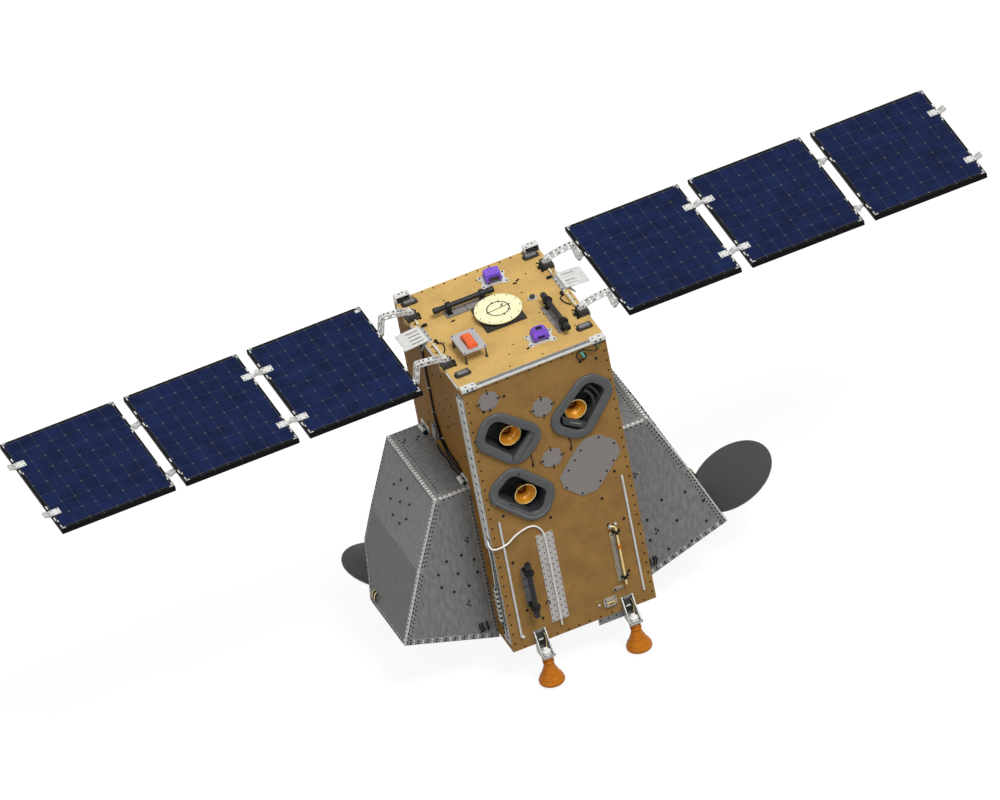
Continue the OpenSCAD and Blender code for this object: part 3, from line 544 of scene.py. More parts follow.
p = Piece()
for side_name, side in SIDES:
    m = DECK @ mirror(side)
    for y in (26, 72, 118):
        p.prism(m @ at(0, y + 3, 0) @ UPRIGHT, [(322, 2), (340, 2), (424, 1.5), (424, 4), (342, 10),
            (322, 10)], 0, 6, 0)
    p.box(m, (298, 20, 2.5), (322, 132, 5), 1, 0.8)
    p.bolts(m, [(303, y, 5) for y in (28, 58, 92, 124)], 3.4, 2.4, 2)
    for a, b in ((-118, -10), (150, 184)):
        for y in (a + 12, b - 8):
            p.lathe(m @ at(308, y, 8) @ UPRIGHT, [(5.2, -3), (6.4, -2), (6.4, 2), (5.2, 3)], 3, 14)
    p.rod(m, (300, -112, 12), (300, -14, 12), 2.2, 3, 8)
    p.lathe(m @ at(290, -2, 6) @ UPRIGHT, [(5, -12), (8, -11), (8, -2), (6, 0), (6, 10), (4, 12)], 2, 14)
    p.lathe(m @ at(288, 134, 6) @ turn("Y", 90), [(4, -12), (7, -11), (7, 6), (4.5, 8), (4.5, 14)], 2, 14)
    p.cable(m, [(288, -10, 6), (272, -26, 5), (276, -60, 4), (292, -90, 5)], 2.6, 2)
    p.prism(m @ at(0, 18, 0) @ UPRIGHT, [(330, 0), (352, -28), (358, -28), (340, 2)], -6, 0, 0)
p.done("edge_details", ["mid_metal", "bare_metal", "black", "pale_gold"])

# ---- deck equipment

p = Piece()
m = DECK @ at(*DISC, 0)
p.lathe(m, [(0, 27), (101.6, 27), (102.5, 27.8), (102.5, 32), (101.6, 33), (0, 33)], 0, 96)
p.lathe(m, [(88, 14.2), (90, 15), (90, 20), (86, 21), (86, 27.5)], 2, 64)
p.bolts(m @ at(0, 0, 33), circle(94, 12, 15), 2.9, 1.4, 1)
p.lathe(m, [(45.4, 32.8), (45.4, 33.4), (50.2, 33.4), (50.2, 32.8)], 1, 72, closed=True)
p.box(m @ turn("Z", 5), (-49, -2.2, 32.8), (49, 2.2, 33.4), 1)
for angle in (0, 62, 95, 180, 275, 318):
    p.box(m @ turn("Z", angle + 5), (42, -2, 32.8), (57, 2, 33.4), 1)
    p.bolts(m @ turn("Z", angle + 5), [(49, 0, 32.8)], 4.6, 0.9, 1, 8)
p.box(m @ turn("Z", 35), (18, -1.8, 32.8), (38, 1.8, 33.35), 1)
p.box(m @ turn("Z", 20) @ at(26, 4, 0) @ turn("Z", 70), (-11, -1.8, 32.8), (11, 1.8, 33.35), 1)
p.done("deck_antenna", ["cream_cover", "black", "dark_metal"], replaces=("antenna_disc",))

p = Piece()
m = DECK @ at(*DISC, 0)
p.bolts(m, corners(81, 81, 14), 4.6, 3, 1)
p.box(m, (-92, -92, 0), (92, 92, 4), 0, 1)
p.bolts(m, corners(87, 20, 4), 3.2, 2, 1)
p.done("antenna_base_details", ["dark_metal", "black"])


def torque_rod(name, m, length, clamps, plate, replaces, plate_mat="grey_plate"):
    """A rod between two clamps, on a plate of two halves."""
    p = Piece()
    height, h = 40, length / 2
    axis = m @ at(0, 0, height) @ turn("Y", 90)
    p.lathe(axis, [(10.5, -h), (13.4, -h + 1.5), (14, -h + 4), (14, -h + 27), (12.6, -h + 29),
        (11.8, -h + 31), (11.8, h - 31), (12.6, h - 29), (14, h - 27), (14, h - 4), (13.4, h - 1.5),
        (10.5, h)], 0, 28)
    for x in clamps:
        p.lathe(axis @ at(0, 0, x), [(17, -10), (19.4, -9), (19.4, -6.5), (17, -5.5), (17, -1.5), (21, -0.8),
            (21, 0.8), (17, 1.5), (17, 5.5), (19.4, 6.5), (19.4, 9), (17, 10)], 0, 24)
        p.box(m, (x - 9, -11, 4), (x + 9, 11, 30), 0, 1.5)
        p.box(m, (x - 12, -17, 3.5), (x + 12, 17, 8), 0, 1.2)
        for s in (-1, 1):
            p.box(m, (x - 5, s * 18 - 3, 33), (x + 5, s * 18 + 3, 47), 0, 1)
            p.rod(m, (x - 8, s * 18, height), (x + 8, s * 18, height), 2.2, 2, 8)
        p.bolts(m @ at(x, 0, 0), corners(8, 14, 8), 2.6, 2, 2)
    x0, y0, x1, y1 = plate
    xm = (x0 + x1) / 2
    p.box(m, (x0, y0, 0), (xm - 0.8, y1, 4), 1, 0.6)
    p.box(m, (xm + 0.8, y0, 0), (x1, y1, 4), 1, 0.6)
    p.bolts(m, [(x, y, 4) for x in spread(x0 + 8, x1 - 8, 46) for y in (y0 + 6, y1 - 6)], 2.6, 1.8, 2)
    p.done(name, ["black_rod", plate_mat, "black"], replaces=replaces)


torque_rod("rod_rear", DECK @ at(-94, 154, 0), 278, [-70, 84], [-92, -30, 100, 22], ("deck_rod_rear",))
torque_rod("rod_right", DECK @ at(205, -143, 0) @ turn("Z", 90), 278, [-85, 88], [-100, -24, 104, 32],
    ("deck_rod_right",))
torque_rod("rod_front", FRONT @ at(-208, -1093, 0) @ turn("Z", 90), 285, [-92, 92], [-104, -24, 104, 24],
    ("front_rod",), "mid_metal")

p = Piece()
q = Piece()
for i, (x, y) in enumerate([(82, 267), (93, -220)]):
    m = DECK @ at(x, y - 7, 0) @ turn("Z", -6)
    hull = [(-60, -43), (-40, -43), (-22, -34), (22, -34), (40, -43), (60, -43), (60, -26), (50, -12),
        (50, 10), (60, 24), (60, 41), (40, 41), (22, 32), (-22, 32), (-40, 41), (-60, 41), (-60, 24),
        (-50, 10), (-50, -12), (-60, -26)]
    q.prism(m, hull, 0.2, 4, 0, 0.6)
    q.box(m, (-22, -18, 4), (22, 18, 16), 2, 1)
    q.bolts(m @ at(0, 0, 4), [(-51, -34), (51, -34), (51, 32), (-51, 32), (-26, -22), (26, -22), (-24, 14)],
        4.6, 2.4, 1)
    p.box(m, (-37, -30, 16), (37, 30, 23), 0, 1.5)
    base = [(-35, -28), (35, -28), (35, 28), (-35, 28)]
    p.prism(m, base, 23, 33, 0, 1)
    p.prism(m, base, 33, 46 if i == 0 else 52, 0, 1.2, taper=0.7)
    if i == 1:
        for a, b, c, d in ((-20, -17, 20, -12), (-20, 12, 20, 17), (-20, -12, -14, 12), (14, -12, 20, 12)):
            p.box(m, (a, b, 51), (c, d, 57), 0, 0.6)
        p.box(m, (-14, -12, 51.6), (14, 12, 53), 2)
        for s in (-1, 1):
            p.box(m, (s * 33.5 - 4, -12, 24), (s * 33.5 + 4, 12, 34), 1, 1.5)
        p.box(m, (-16, -31, 24), (16, -27, 35), 2, 1)
    else:
        p.prism(m, rounded_box(66, 52, 4, steps=3), 44, 48.6, 0, 1.2)
        p.box(m, (-16, 20, 44), (12, 29, 49.4), 0, 1.2)
        p.box(m, (-24, -31, 18), (24, -27, 41), 3, 2)
    p.bolts(m, corners(34, 27, 23), 2.2, 1.6, 2)
p.done("sensor_heads", ["purple_anodised", "purple_dark", "black", "dark_metal"],
    replaces=("sun_sensors",))
q.done("sensor_feet", ["white_metal", "black", "mid_metal"],
    replaces=("sensor_brackets",))

p = Piece()
m = DECK @ at(-191.5, -139.5, 0)
p.prism(m, rounded_box(107, 153, 5, steps=3), 51, 56, 0, 0.9)
for x, y in corners(46.5, 69.5):
    leg = m @ at(x, y, 0)
    p.lathe(leg, [(6.6, 0), (7, 1), (7, 3), (5.6, 4.5), (4.6, 8), (3, 34), (2.6, 51.5)], 1, 14)
    p.bolts(leg, [(0, 0, 56)], 3.6, 2.4, 2)
p.done("table", ["table_grey", "dark_metal", "black"], replaces=("instrument_table",))

p = Piece()
m = DECK @ at(-191, -145, 56)
p.prism(m, rounded_box(46, 100, 9, steps=4), 0.2, 7, 0, 1.2)
p.prism(m, [(-20, -44), (20, -44), (20, 44), (-20, 44)], 6, 20, 0, 3, taper=0.88)
for a, b in ((-36, -26), (28, 38)):
    p.box(m, (-12, a, 17), (12, b, 19.9), 0, 1.2)
p.bolts(m, [(sx * 19.5, y, 6.6) for sx in (-1, 1) for y in (-43, 0, 43)], 2.8, 2.4, 1)
p.bolts(m, [(0, y, 19.2) for y in (-12, 14)], 2.4, 0.8, 1)
for s in (-1, 1):
    p.rod(m, (s * 21.5, -22, 6), (s * 21.5, 20, 6), 1.4, 1, 8)
p.done("orange_box", ["orange_plastic", "black"], replaces=("orange_unit",))

p = Piece()
for x in (-280, 280):
    for y in (-265, 318):
        m = DECK @ at(x, y, 0)
        p.bolts(m, corners(23, 10.5, 12), 2.8, 1.8, 0)
        p.box(m, (-24, -11.4, 11.6), (24, 11.4, 12.5), 3, 0.3)
        p.box(m, (-36, -12, 0), (36, 12, 4), 1, 0.8)
        p.bolts(m, [(sx * 33, 0, 4) for sx in (-1, 1)], 3, 2, 0)
m = DECK @ at(173, 47, 0)
p.prism(m, [(-26, 0), (-10, -14), (14, -14), (26, 0), (12, 14), (-12, 14)], 0.1, 4, 2, 0.6)
p.prism(m, rounded_box(24, 17, 6), 4, 15, 1, 1)
p.rod(m, (0, -9.5, 10), (0, 11, 10), 5.5, 1, 14)
p.bolts(m, [(-19, 0, 4), (19, 0, 4)], 3, 2, 0)
for x, y, a in ((168, 198, 30), (150, 184, -20), (-172, 96, 10), (24, -262, 15), (-12, 118, 40)):
    m = DECK @ at(x, y, 0) @ turn("Z", a)
    p.box(m, (-9, -3, 0), (9, 3, 4), 0, 0.8)
    p.bolts(m, [(-5, 0, 4), (5, 0, 4)], 3, 2, 0)
p.done("deck_small_parts", ["black", "dark_metal", "white_metal", "mid_metal"])

# corner brackets: holes, folded flanges and the rear cylinders
p = Piece()
for side in (-1, 1):
    m = DECK @ mirror(side)
    p.bolts(m, [(276, -358, 4), (306, -358, 4), (276, 345, 34), (306, 358, 34), (290, 362, 34)], 3.8, 1.4, 0,
        8)
    p.bolts(FRONT @ mirror(side) @ at(0, 0, 4), [(284, -5), (306, -6)], 4.4, 2.4, 0, 8)
    p.box(m, (266, -376.5, -18), (328, -370, -14), 1, 0.8)
    p.lathe(m @ at(297, 353, 4), [(12, 0), (13, 1), (13, 18), (11, 19), (11, 26)], 1, 20)
    p.rod(m, (270, 345, 10), (324, 345, 10), 3, 1, 10)
    p.box(m, (262, 337, 0), (330, 372, 4), 1, 0.8)
p.done("corner_details", ["black", "dark_metal"])

p = Piece()
p.box(DECK, (-262, -379.4, -8), (262, -377.8, 3), 0, 0.5)
p.box(DECK, (-262, -376, 2.8), (262, -357, 3.6), 2, 0.2)
p.bolts(DECK, [(x, -362, 3) for x in spread(-240, 240, 46)], 2.4, 1.6, 1)
p.done("rail_details", ["bright_strip", "black", "mid_metal"])

# ---- front face: recesses and horns

FUNNELS = (
    ("upper_left", [(-234, -284), (-144, -380), (-108, -346), (-217, -251)], 80, (-155, -325)),
    ("lower_left", [(-224, -579), (-112, -694), (-96, -656), (-192, -554)], 80, (-139, -646)),
    ("right", [(104, -336), (146, -370), (234, -258), (213, -237)], 82, (148, -322)),
)
for name, points, r, horn in FUNNELS:
    p = Piece()

    def loop(offset, z):
        return [(x, y, z) for x, y in rounded(points, offset)]

    inner = r - 42
    skin = [loop(r - 0.5, 0.2), loop(r, 2), loop(r, 7), loop(r - 2, 11), loop(r - 6, 13.4), loop(r - 10, 14),
        loop(inner + 10, 12.5), loop(inner + 4, 10.5), loop(inner + 1, 6), loop(inner + 0.4, -2),
        loop(inner - 1, -40), loop(inner - 3, RECESS_FLOOR)]
    p.rings(FRONT, skin, 0, caps=(False, False))
    back = [loop(inner - 3, RECESS_FLOOR), loop(inner + 0.2, -88.5), loop(inner + 2.6, -88.5),
        loop(inner + 2.6, -0.2), loop(r - 0.5, 0.2)]
    p.rings(FRONT, back, 0, caps=(False, False))
    bmesh.ops.remove_doubles(p.bm, verts=p.bm.verts, dist=1e-6)
    p.prism(FRONT, rounded(points, inner - 1.5), -86, -83, 1)
    lining = [loop(inner + 0.1, 4), loop(inner - 1.4, -40), loop(inner - 3.4, -82.5), loop(inner - 9, -82.8),
        loop(inner - 9, -83.4), loop(inner - 2.8, -83.4), loop(inner - 0.6, -40), loop(inner + 0.9, 4)]
    p.rings(FRONT, lining, 1, loop=True)
    m = FRONT
    if name == "upper_left":
        p.prism(m, [(-175, -437), (-145, -443), (-62, -345), (-68, -322), (-82, -326), (-172, -412)], 4, 14.6,
            1)
        p.prism(m, [(-171, -434), (-147, -439), (-66, -345), (-70, -328), (-82, -331), (-168, -412)], 8, 15.2,
            0)
    elif name == "lower_left":
        p.tube(m, [(x, y, 13.4) for x, y in rounded(points, r - 16, 5)][2:12], 2, 2, 8)
        p.tube(m, [(-225, -641, 12.5), (-180, -679, 12.5), (-135, -719, 12.5)], 2.4, 1, 8)
        for x, y, a in ((-169, -484, 20), (-298, -610, 110), (-22, -640, -60)):
            p.prism(m @ at(x, y, 0) @ turn("Z", a), [(-12, -8), (12, -8), (4, 7), (-4, 7)], 0.4, 5, 0, 0.8)
        p.bolts(m, [(-159, -512, 12), (-24, -654, 9), (-145, -765, 9), (-276, -630, 12)], 4.6, 3.2, 3)
    else:
        bar = [(75, -315), (77, -353), (190, -431), (196, -404)]
        p.prism(m, bar, -8, 10, 1, 1.5)
        p.prism(m, [(104, -349), (106, -357), (150, -386), (152, -378)], 9, 10.8, 2, 0.4)
        for radius, width in ((92, 7), (118, 6)):
            arc = circle(radius, 60, -26, 140, -310)[:14]
            p.tube(m, [(*q, -16) for q in arc], width, 1, 8)
    for angle, top in ((10, 11), (36, 13.2), (62, 11)):
        p.box(m @ at(*points[3], 0) @ turn("Z", angle), (-9, r - 7, 8), (9, r - 1, top), 2, 1.2)
    p.lathe(m @ at(*horn, RECESS_FLOOR), [(52, 0), (52, 2), (30, 4), (27, 14), (25.5, 16), (25.5, 0)], 1, 40,
        closed=True)
    p.done(f"recess_{name}", ["funnel_grey", "funnel_dark", "mid_metal", "black"],
        replaces=(f"funnel_{name}",))

p = Piece()
for name, points, r, (x, y) in FUNNELS:
    m = FRONT @ at(x, y, -87)
    outer = [(23.5, 0), (24, 6), (24, 26), (27, 30), (27, 33), (31, 40), (36, 46), (40, 52), (44, 58),
        (46.4, 64), (47.4, 68), (49, 68.4), (49, 70)]
    inside = [(46.2, 70), (45, 67), (43.6, 62), (41.6, 58), (39.5, 57), (37.8, 51), (33.4, 46), (32, 45.2),
        (28.6, 38.5), (24.4, 33), (21.6, 27), (21.4, 8), (14, 6.4), (10, 9), (9, 13), (7, 14.5), (0, 14.5)]
    first = len(p.bm.faces)
    p.lathe(m, outer + inside, 0, 56)
    p.bm.faces.ensure_lookup_table()
    for f in p.bm.faces[first:]:
        c = m.inverted() @ f.calc_center_median()
        if c.z > 68.2:
            f.material_index = 3
        # the throat and neck deep in the recess get the darker gold as painted shade
        elif c.z < 30:
            f.material_index = 2
    p.tube(m, [(*q, 10 + i * 0.55) for i, q in enumerate(circle(12, 20)[:19])], 1.6, 1, 8)
p.done("horns", ["gold_metal", "copper_gold", "horn_throat_shade", "pale_gold"],
    replaces=("horn_antennas",))

p = Piece()
for x, y, bend in ((-88, -450, 1), (89, -441, 5)):
    p.cable(FRONT, [(x - 2, y + 8, 0), (x, y - 2, 3), (x + bend, y - 20, 3), (x + bend / 2, y - 36, 3),
        (x, y - 44, 3)], 2)
    p.rod(FRONT, (x, y - 42, 3.4), (x, y - 56, 3.4), 4, 0, 10)
p.cable(FRONT, [(288, -30, 4), (284, -42, 8), (268, -42, 12), (248, -32, 13), (228, -20, 12), (208, -18, 9),
    (194, -28, 6), (190, -46, 6), (202, -66, 6), (219, -71, 5), (230, -60, 5), (228, -42, 5)], 2.4)
p.cable(FRONT, [(211, -28, 6), (215, -42, 7), (221, -56, 7)], 6, 1, 12, 5)
p.box(FRONT @ at(288, -24, 0), (-6, -16, 0), (6, 9, 8), 2, 2)
p.cable(FRONT, [(-150, -1216, 4), (-142, -1204, 5), (-132, -1208, 5), (-134, -1224, 4)], 2)
p.done("front_wires", ["black_cable", "teal", "green"])

BIG_COVER = [(155, -467), (97, -516), (16, -616), (25, -677), (97, -748), (166, -749), (235, -676),
    (299, -601), (287, -534), (222, -475)]
p = Piece()
for x, y in ((-225, -98), (1, -231), (0, -500)):
    p.prism(FRONT, circle(49.5, 8, 0, x, y)[::-1], 0.2, 3, 0, 0.5)
    for k in range(4):
        m = FRONT @ at(x, y, 3) @ turn("Z", 90 * k)
        p.box(m, (38, -1.7, 0), (52, 1.7, 2.6), 1, 0.5)
        p.bolts(m, [(42, 0)], 4.6, 3.4, 1)
        p.bolts(m, [(55, 0, -3)], 3.2, 3.4, 1)
p.prism(FRONT, BIG_COVER[::-1], 0.2, 3, 0, 0.5)
spots = [(219, -480), (284, -542), (265, -632), (227, -673), (188, -712), (97, -741), (30, -680), (54, -594),
    (91, -553), (126, -513)]
p.bolts(FRONT, [(x + (159 - x) * 0.05, y + (-607 - y) * 0.05, 3) for x, y in spots], 4.8, 2.8, 1)
p.done("covers", ["grey_plate", "black"], replaces=("access_covers",))

# ---- front face: plate, rails, tube and connector

p = Piece()
columns = ((-132, -2), (-114, 8), (-85, -2), (-67, 8))
p.bolts(FRONT, [(x, y + dy, 3) for y in spread(-1312, -872, 31) for x, dy in columns], 3, 1.6, 0)
for x in (-283, 283):
    p.tube(FRONT, [(x, -1334, 4.4), (x, -723, 4.4)], 4.4, 1, 10)
    for y in (-1328, -730):
        p.box(FRONT, (x - 6, y - 5, 0), (x + 6, y + 5, 7), 1, 1)
p.lathe(FRONT @ at(-276, -1338, 0), [(5, 0), (7, 1), (7, 6), (5, 8)], 1, 12)
p.lathe(FRONT @ at(78, -1328, 0), [(4, 0), (5, 1), (5, 4), (3, 5)], 1, 12)
p.done("plate_details", ["black", "white_metal"])

p = Piece()
m = FRONT @ at(209, 0, 0)
p.box(m, (-30, -1246, 0), (-6, -985, 6), 3, 1.2)
p.box(m, (-26, -1236, 6), (-18, -1000, 12), 3, 1)
p.lathe(m @ at(0, -1262, 16) @ turn("X", -90), [(4, 0), (5, 1), (5, 14), (6, 15), (6, 40), (5, 41), (5, 190),
    (6, 191), (6, 205), (5, 206), (5, 299), (4, 300)], 0, 18)
p.lathe(m @ at(0, -1060, 16) @ turn("X", -90), [(6, -10), (9.6, -7), (9.6, 3), (7, 8)], 1, 18)
for y in (-1240, -1000):
    p.box(m, (-9, y, 0.2), (9, y + 30, 10), 3, 1)
    p.lathe(m @ at(0, y + 15, 16) @ turn("X", -90), [(7, -9), (9, -8), (9, 8), (7, 9)], 2, 16)
    for s in (-1, 1):
        p.rod(m, (s * 14, y + 15, 0), (s * 14, y + 15, 13), 5, 2, 12)
p.cable(m, [(0, -966, 16), (-3, -955, 17), (-12, -948, 16), (-22, -950, 12), (-28, -958, 6)], 4, 0, 12)
p.lathe(m @ at(-22, -950, 4) @ turn("Y", 20), [(6, -3), (9, 0), (9, 8), (6, 14), (3, 16)], 4, 14)
p.lathe(m @ at(4, -944, 4), [(5, -3), (7, 0), (7, 10), (4, 14)], 4, 14)
p.box(m, (-58, -1286, 0), (-14, -1270, 3), 3, 0.8)
c = FRONT @ at(128, -1331, 0)
p.prism(c, rounded_box(58, 46, 6), 0.1, 5, 4, 0.8)
p.prism(c, rounded_box(44, 26, 8), 5, 14, 3, 1.5)
p.box(c, (-17, -8, 13), (17, 8, 15.2), 0, 1)
p.box(c, (-14, -4, 14.6), (14, 2, 15.8), 2)
p.bolts(c, corners(23, 17, 5), 3.4, 2.2, 2)
p.box(FRONT, (62, -1434, -6), (190, -1400, -2), 3, 1)
p.box(FRONT, (62, -1402, -20), (190, -1399.6, -2), 3)
p.bolts(FRONT @ at(0, 0, -2), [(x, -1412) for x in spread(72, 180, 36)], 4, 1.8, 2)
p.done("gas_line", ["pale_gold", "copper_gold", "black", "mid_metal", "bare_metal"],
    replaces=("front_tube",))

# ---- thrusters

SWAP_X_Z = Matrix(((0, 0, 1, 0), (0, 1, 0, 0), (1, 0, 0, 0), (0, 0, 0, 1)))
p = Piece()
q = Piece()
for s in (-1, 1):
    m = FRONT @ at(THRUSTER_X * s, THRUSTER_Z, 0)
    p.box(m, (-25, 10, 0.2), (25, 110, 3.5), 1, 0.8)
    p.box(m, (-22, 30, 3.4), (22, 100, 5.2), 2, 0.8)
    for x0 in (-27, 22):
        p.prism(m @ at(x0, 0, 0) @ SWAP_X_Z, [(0, 0), (72, 0), (73, 6), (70, 13), (52, 30), (9, 108),
            (4, 111), (0, 111)], 0, 5, 0, 0.9)
        p.bolts(m @ at(x0 + 2.5, 0, 0), [(0, 104, 9)], 2.4, 2, 3)
    p.box(m, (-26, 0, 2), (26, 9, 73), 0, 1)
    p.prism(m @ at(0, 9, 48) @ UPRIGHT @ at(0, 0, -16), rounded_box(36, 36, 10), 0, 16, 4, 3)
    p.lathe(m @ at(0, 26, 46) @ UPRIGHT, [(9, -10), (12, -6), (12, 2), (10, 4)], 4, 20)
    p.box(m, (-12, 60, 5), (12, 64, 12), 4, 1)
    p.bolts(m, [(-18, 102, 5), (18, 102, 5), (-18, 40, 5), (18, 40, 5)], 2.8, 2.2, 3)
    for s2 in (-1, 1):
        p.rod(m, (s2 * 24, 6, 66), (s2 * 30, 6, 66), 5.5, 3, 10)
        p.rod(m, (s2 * 24, 6, 66), (s2 * 31.5, 6, 66), 3, 0, 10)
    p.cable(m, [(16, 92, 7), (20, 66, 12), (15, 46, 22), (10, 30, 34), (8, 20, 44)], 1.6, 5)
    p.cable(m, [(10, 96, 7), (12, 70, 10), (8, 48, 18), (2, 34, 30), (-2, 22, 42)], 1.5, 6)
    b = FRONT @ at(THRUSTER_X * s, THRUSTER_Z, 48) @ UPRIGHT  # z looks down
    outer = [(12, 0), (17.5, 0.5), (18, 3), (15.5, 5), (15.5, 9), (20.5, 12), (22, 15), (20.5, 18),
        (17.5, 20), (17.5, 24), (22.5, 27), (24, 30.5), (23, 34), (20, 37), (21.5, 41), (25, 52), (28, 63),
        (31, 72), (33.2, 73), (33.6, 76), (36, 82), (41, 92), (45.5, 101), (47.8, 102), (48.2, 105),
        (52, 112), (55.6, 119), (56.5, 123), (56.5, 128), (55.6, 131.5)]
    inside = [(53.5, 131.5), (53.2, 121), (47.5, 109), (38.5, 91), (30.5, 73.5), (24, 55), (18, 40), (13, 26),
        (11, 12), (0, 9)]
    q.lathe(b, outer + inside, 0, 56)
    for r, z in ((21, 15), (22.6, 30.5)):
        for x, y in circle(r, 12):
            q.lathe(b @ at(x, y, z), [(0, -3.4), (2.4, -2.4), (3.4, 0), (2.4, 2.4), (0, 3.4)], 0, 8)
p.done("thruster_mounts", ["bare_metal", "mid_metal", "dark_metal", "black", "white_hose", "pale_gold",
    "black_cable"], replaces=("thruster_brackets",))
q.done("bells", ["copper_gold"], replaces=("thruster_bells",))

# ---- hose, strip and cable

hose = [(-338.3, -342, -60), (-338.3, -342, -400), (-338.3, -342, -760), (-340.3, -350, -800),
    (-343.3, -366, -824), (-337.3, -380, -836), (-321.3, -383, -842), (-304, -382, -844),
    (-283, -380.3, -843), (-258, -379, -835), (-230, -374.3, -820), (-194, -374.3, -805),
    (-160, -374.3, -799), (-135, -374.3, -805), (-115, -376.3, -825), (-104, -377.3, -850),
    (-100, -377.3, -890), (-99, -377.3, -1000), (-99, -377.3, -1150), (-99, -377.3, -1300),
    (-99, -377.3, -1347)]
p = Piece()
p.cable(DECK, hose, 3.9, 0, 14, 5)
for y in (-905, -1010, -1115, -1220, -1310):
    p.box(FRONT, (-106, y - 2.5, 3), (-92, y + 2.5, 11.4), 1, 0.8)
p.done("hose", ["white_hose", "bare_metal"], replaces=("front_hose",))

p = Piece()
strip = LEFT @ at(0, 0, 4)  # x towards the front, y up, z out of the side
for x in (352, 361):
    p.tube(strip, [(x, -62, 2.6), (x, -790, 2.6)], 2.6, 0, 8)
for x in (331, 318):
    p.tube(strip, [(x, -62, 7), (x, -858, 7)], 3.8, 0, 8)
p.box(strip, (323.2, -858, 5), (325.8, -62, 9.4), 1)
p.box(strip, (305.2, -1350, 0), (309.6, -50, 1.2), 1)
p.box(strip, (343, -1350, 0), (345.4, -50, 1), 1)
for i, y in enumerate(spread(-78, -790, 47)):
    p.box(strip @ at(338, y, 0) @ turn("Z", 7 if i % 2 else -5), (-12, -0.8, 4), (24, 0.8, 8), 1)
p.bolts(strip, [(x, y) for x in (313, 356.5) for y in spread(-66, -1350, 24)], 2.8, 3.4, 1)
p.bolts(LEFT, [(115, -210), (169, -210), (-4, -313), (47, -309), (110, -304), (166, -306)], 4.6, 3, 1)
for i, y in enumerate(spread(-1090, -1270, 13)):
    p.box(strip, (292, y - 6.2, -3), (320, y + 6.2, 10), 0 if i % 2 else 1, 1)
p.cable(strip, [(330, -862, 5), (331, -930, 3), (326, -1010, 4), (314, -1086, 4)], 2.6)
p.cable(strip, [(320, -862, 5), (322, -940, 3), (318, -1020, 4), (308, -1086, 4)], 2.4, 1)
p.box(strip, (306, -1352, 0), (364, -1340, 3), 2, 0.8)
p.done("strip_harness", ["white_hose", "black", "bare_metal"])

cable = [(85, -24), (85, -150), (86, -300), (85, -400), (78, -445), (62, -485), (38, -520), (5, -543),
    (-30, -553), (-75, -556), (-115, -562), (-145, -578)]
p = Piece()
p.cable(LEFT, [(-y, z, 4.8) for y, z in cable], 4.4, 0, 12, 5)
p.cable(LEFT, [(-92, -26, 3.5), (-94, -120, 3.5), (-93, -260, 3.5), (-95, -330, 3.5)], 2.6, 0, 8, 5)
p.cable(LEFT, [(-74, -395, 11), (-54, -470, 12), (-26, -524, 12), (24, -560, 11), (70, -568, 10),
    (118, -580, 8)], 3.4, 0, 10)
p.cable(LEFT, [(-60, -512, 9), (-30, -546, 9), (10, -572, 8), (58, -590, 6)], 3, 2, 10)
for y, z, a in ((85, -272, 0), (84, -403, 0), (40, -516, 40)):
    m = LEFT @ at(-y, z, 0) @ turn("Z", a)
    p.box(m, (-22, -4.5, 0.2), (22, 4.5, 3), 1, 0.8)
    p.box(m, (-8, -4.5, 2), (8, 4.5, 11.4), 1, 1.6)
    p.bolts(m, [(-17, 0, 3), (17, 0, 3)], 2.4, 1.6, 2)
m = LEFT @ at(-105, -520, 0) @ turn("Z", -18)
p.prism(m, rounded_box(44, 104, 20), 0.2, 16, 3, 3)
p.box(m, (-25, -38, 1), (-20, 38, 17), 1, 1.2)
p.prism(m, rounded_box(24, 70, 10), 16, 19, 1, 1)
p.prism(m, rounded_box(10, 50, 5), 18.6, 19.8, 4, 0.3)
p.bolts(m, [(0, -44, 16), (0, 44, 16)], 4.4, 2.6, 2)
p.done("side_harness", ["black_cable", "white_metal", "black", "bare_metal", "table_grey"],
    replaces=("side_cable",))

# ---- side shrouds: angle strips, rivets and bolt rings


def flange(p, m, a, b, inward, normal, width, edge=0, pitch=21, rows=1, trim=0, end=16, other=2):
    """A riveted strip on a face along the edge from a to b, with a bright line of width edge."""
    a, b = Vector(a), Vector(b)
    e = (b - a).normalized()
    t = Vector(inward)
    t = (t - e * t.dot(e)).normalized()
    n = Vector(normal).normalized()
    f = m @ axes(e, t, n, a)
    length = (b - a).length
    p.prism(f, [(0, 0), (length, 0), (length - trim, width), (trim, width)], -0.2, 1.4, 1, 0.3)
    if edge:
        p.prism(f, [(0, 0), (length, 0), (length, edge), (0, edge)], 1, 2, 0, 0.3)
    for k in range(rows):
        y = (width + edge) / 2 if rows == 1 else width * (0.28 + 0.44 * k)
        if edge > 7:
            y = edge / 2
        spots = [(x, y, 1.4) for x in spread(end + trim * 0.6, length - end - trim * 0.6, pitch)]
        p.bolts(f, spots[::2], 4, 1.8, 2, 6)
        p.bolts(f, spots[1::2], 4, 1.8, other, 6)


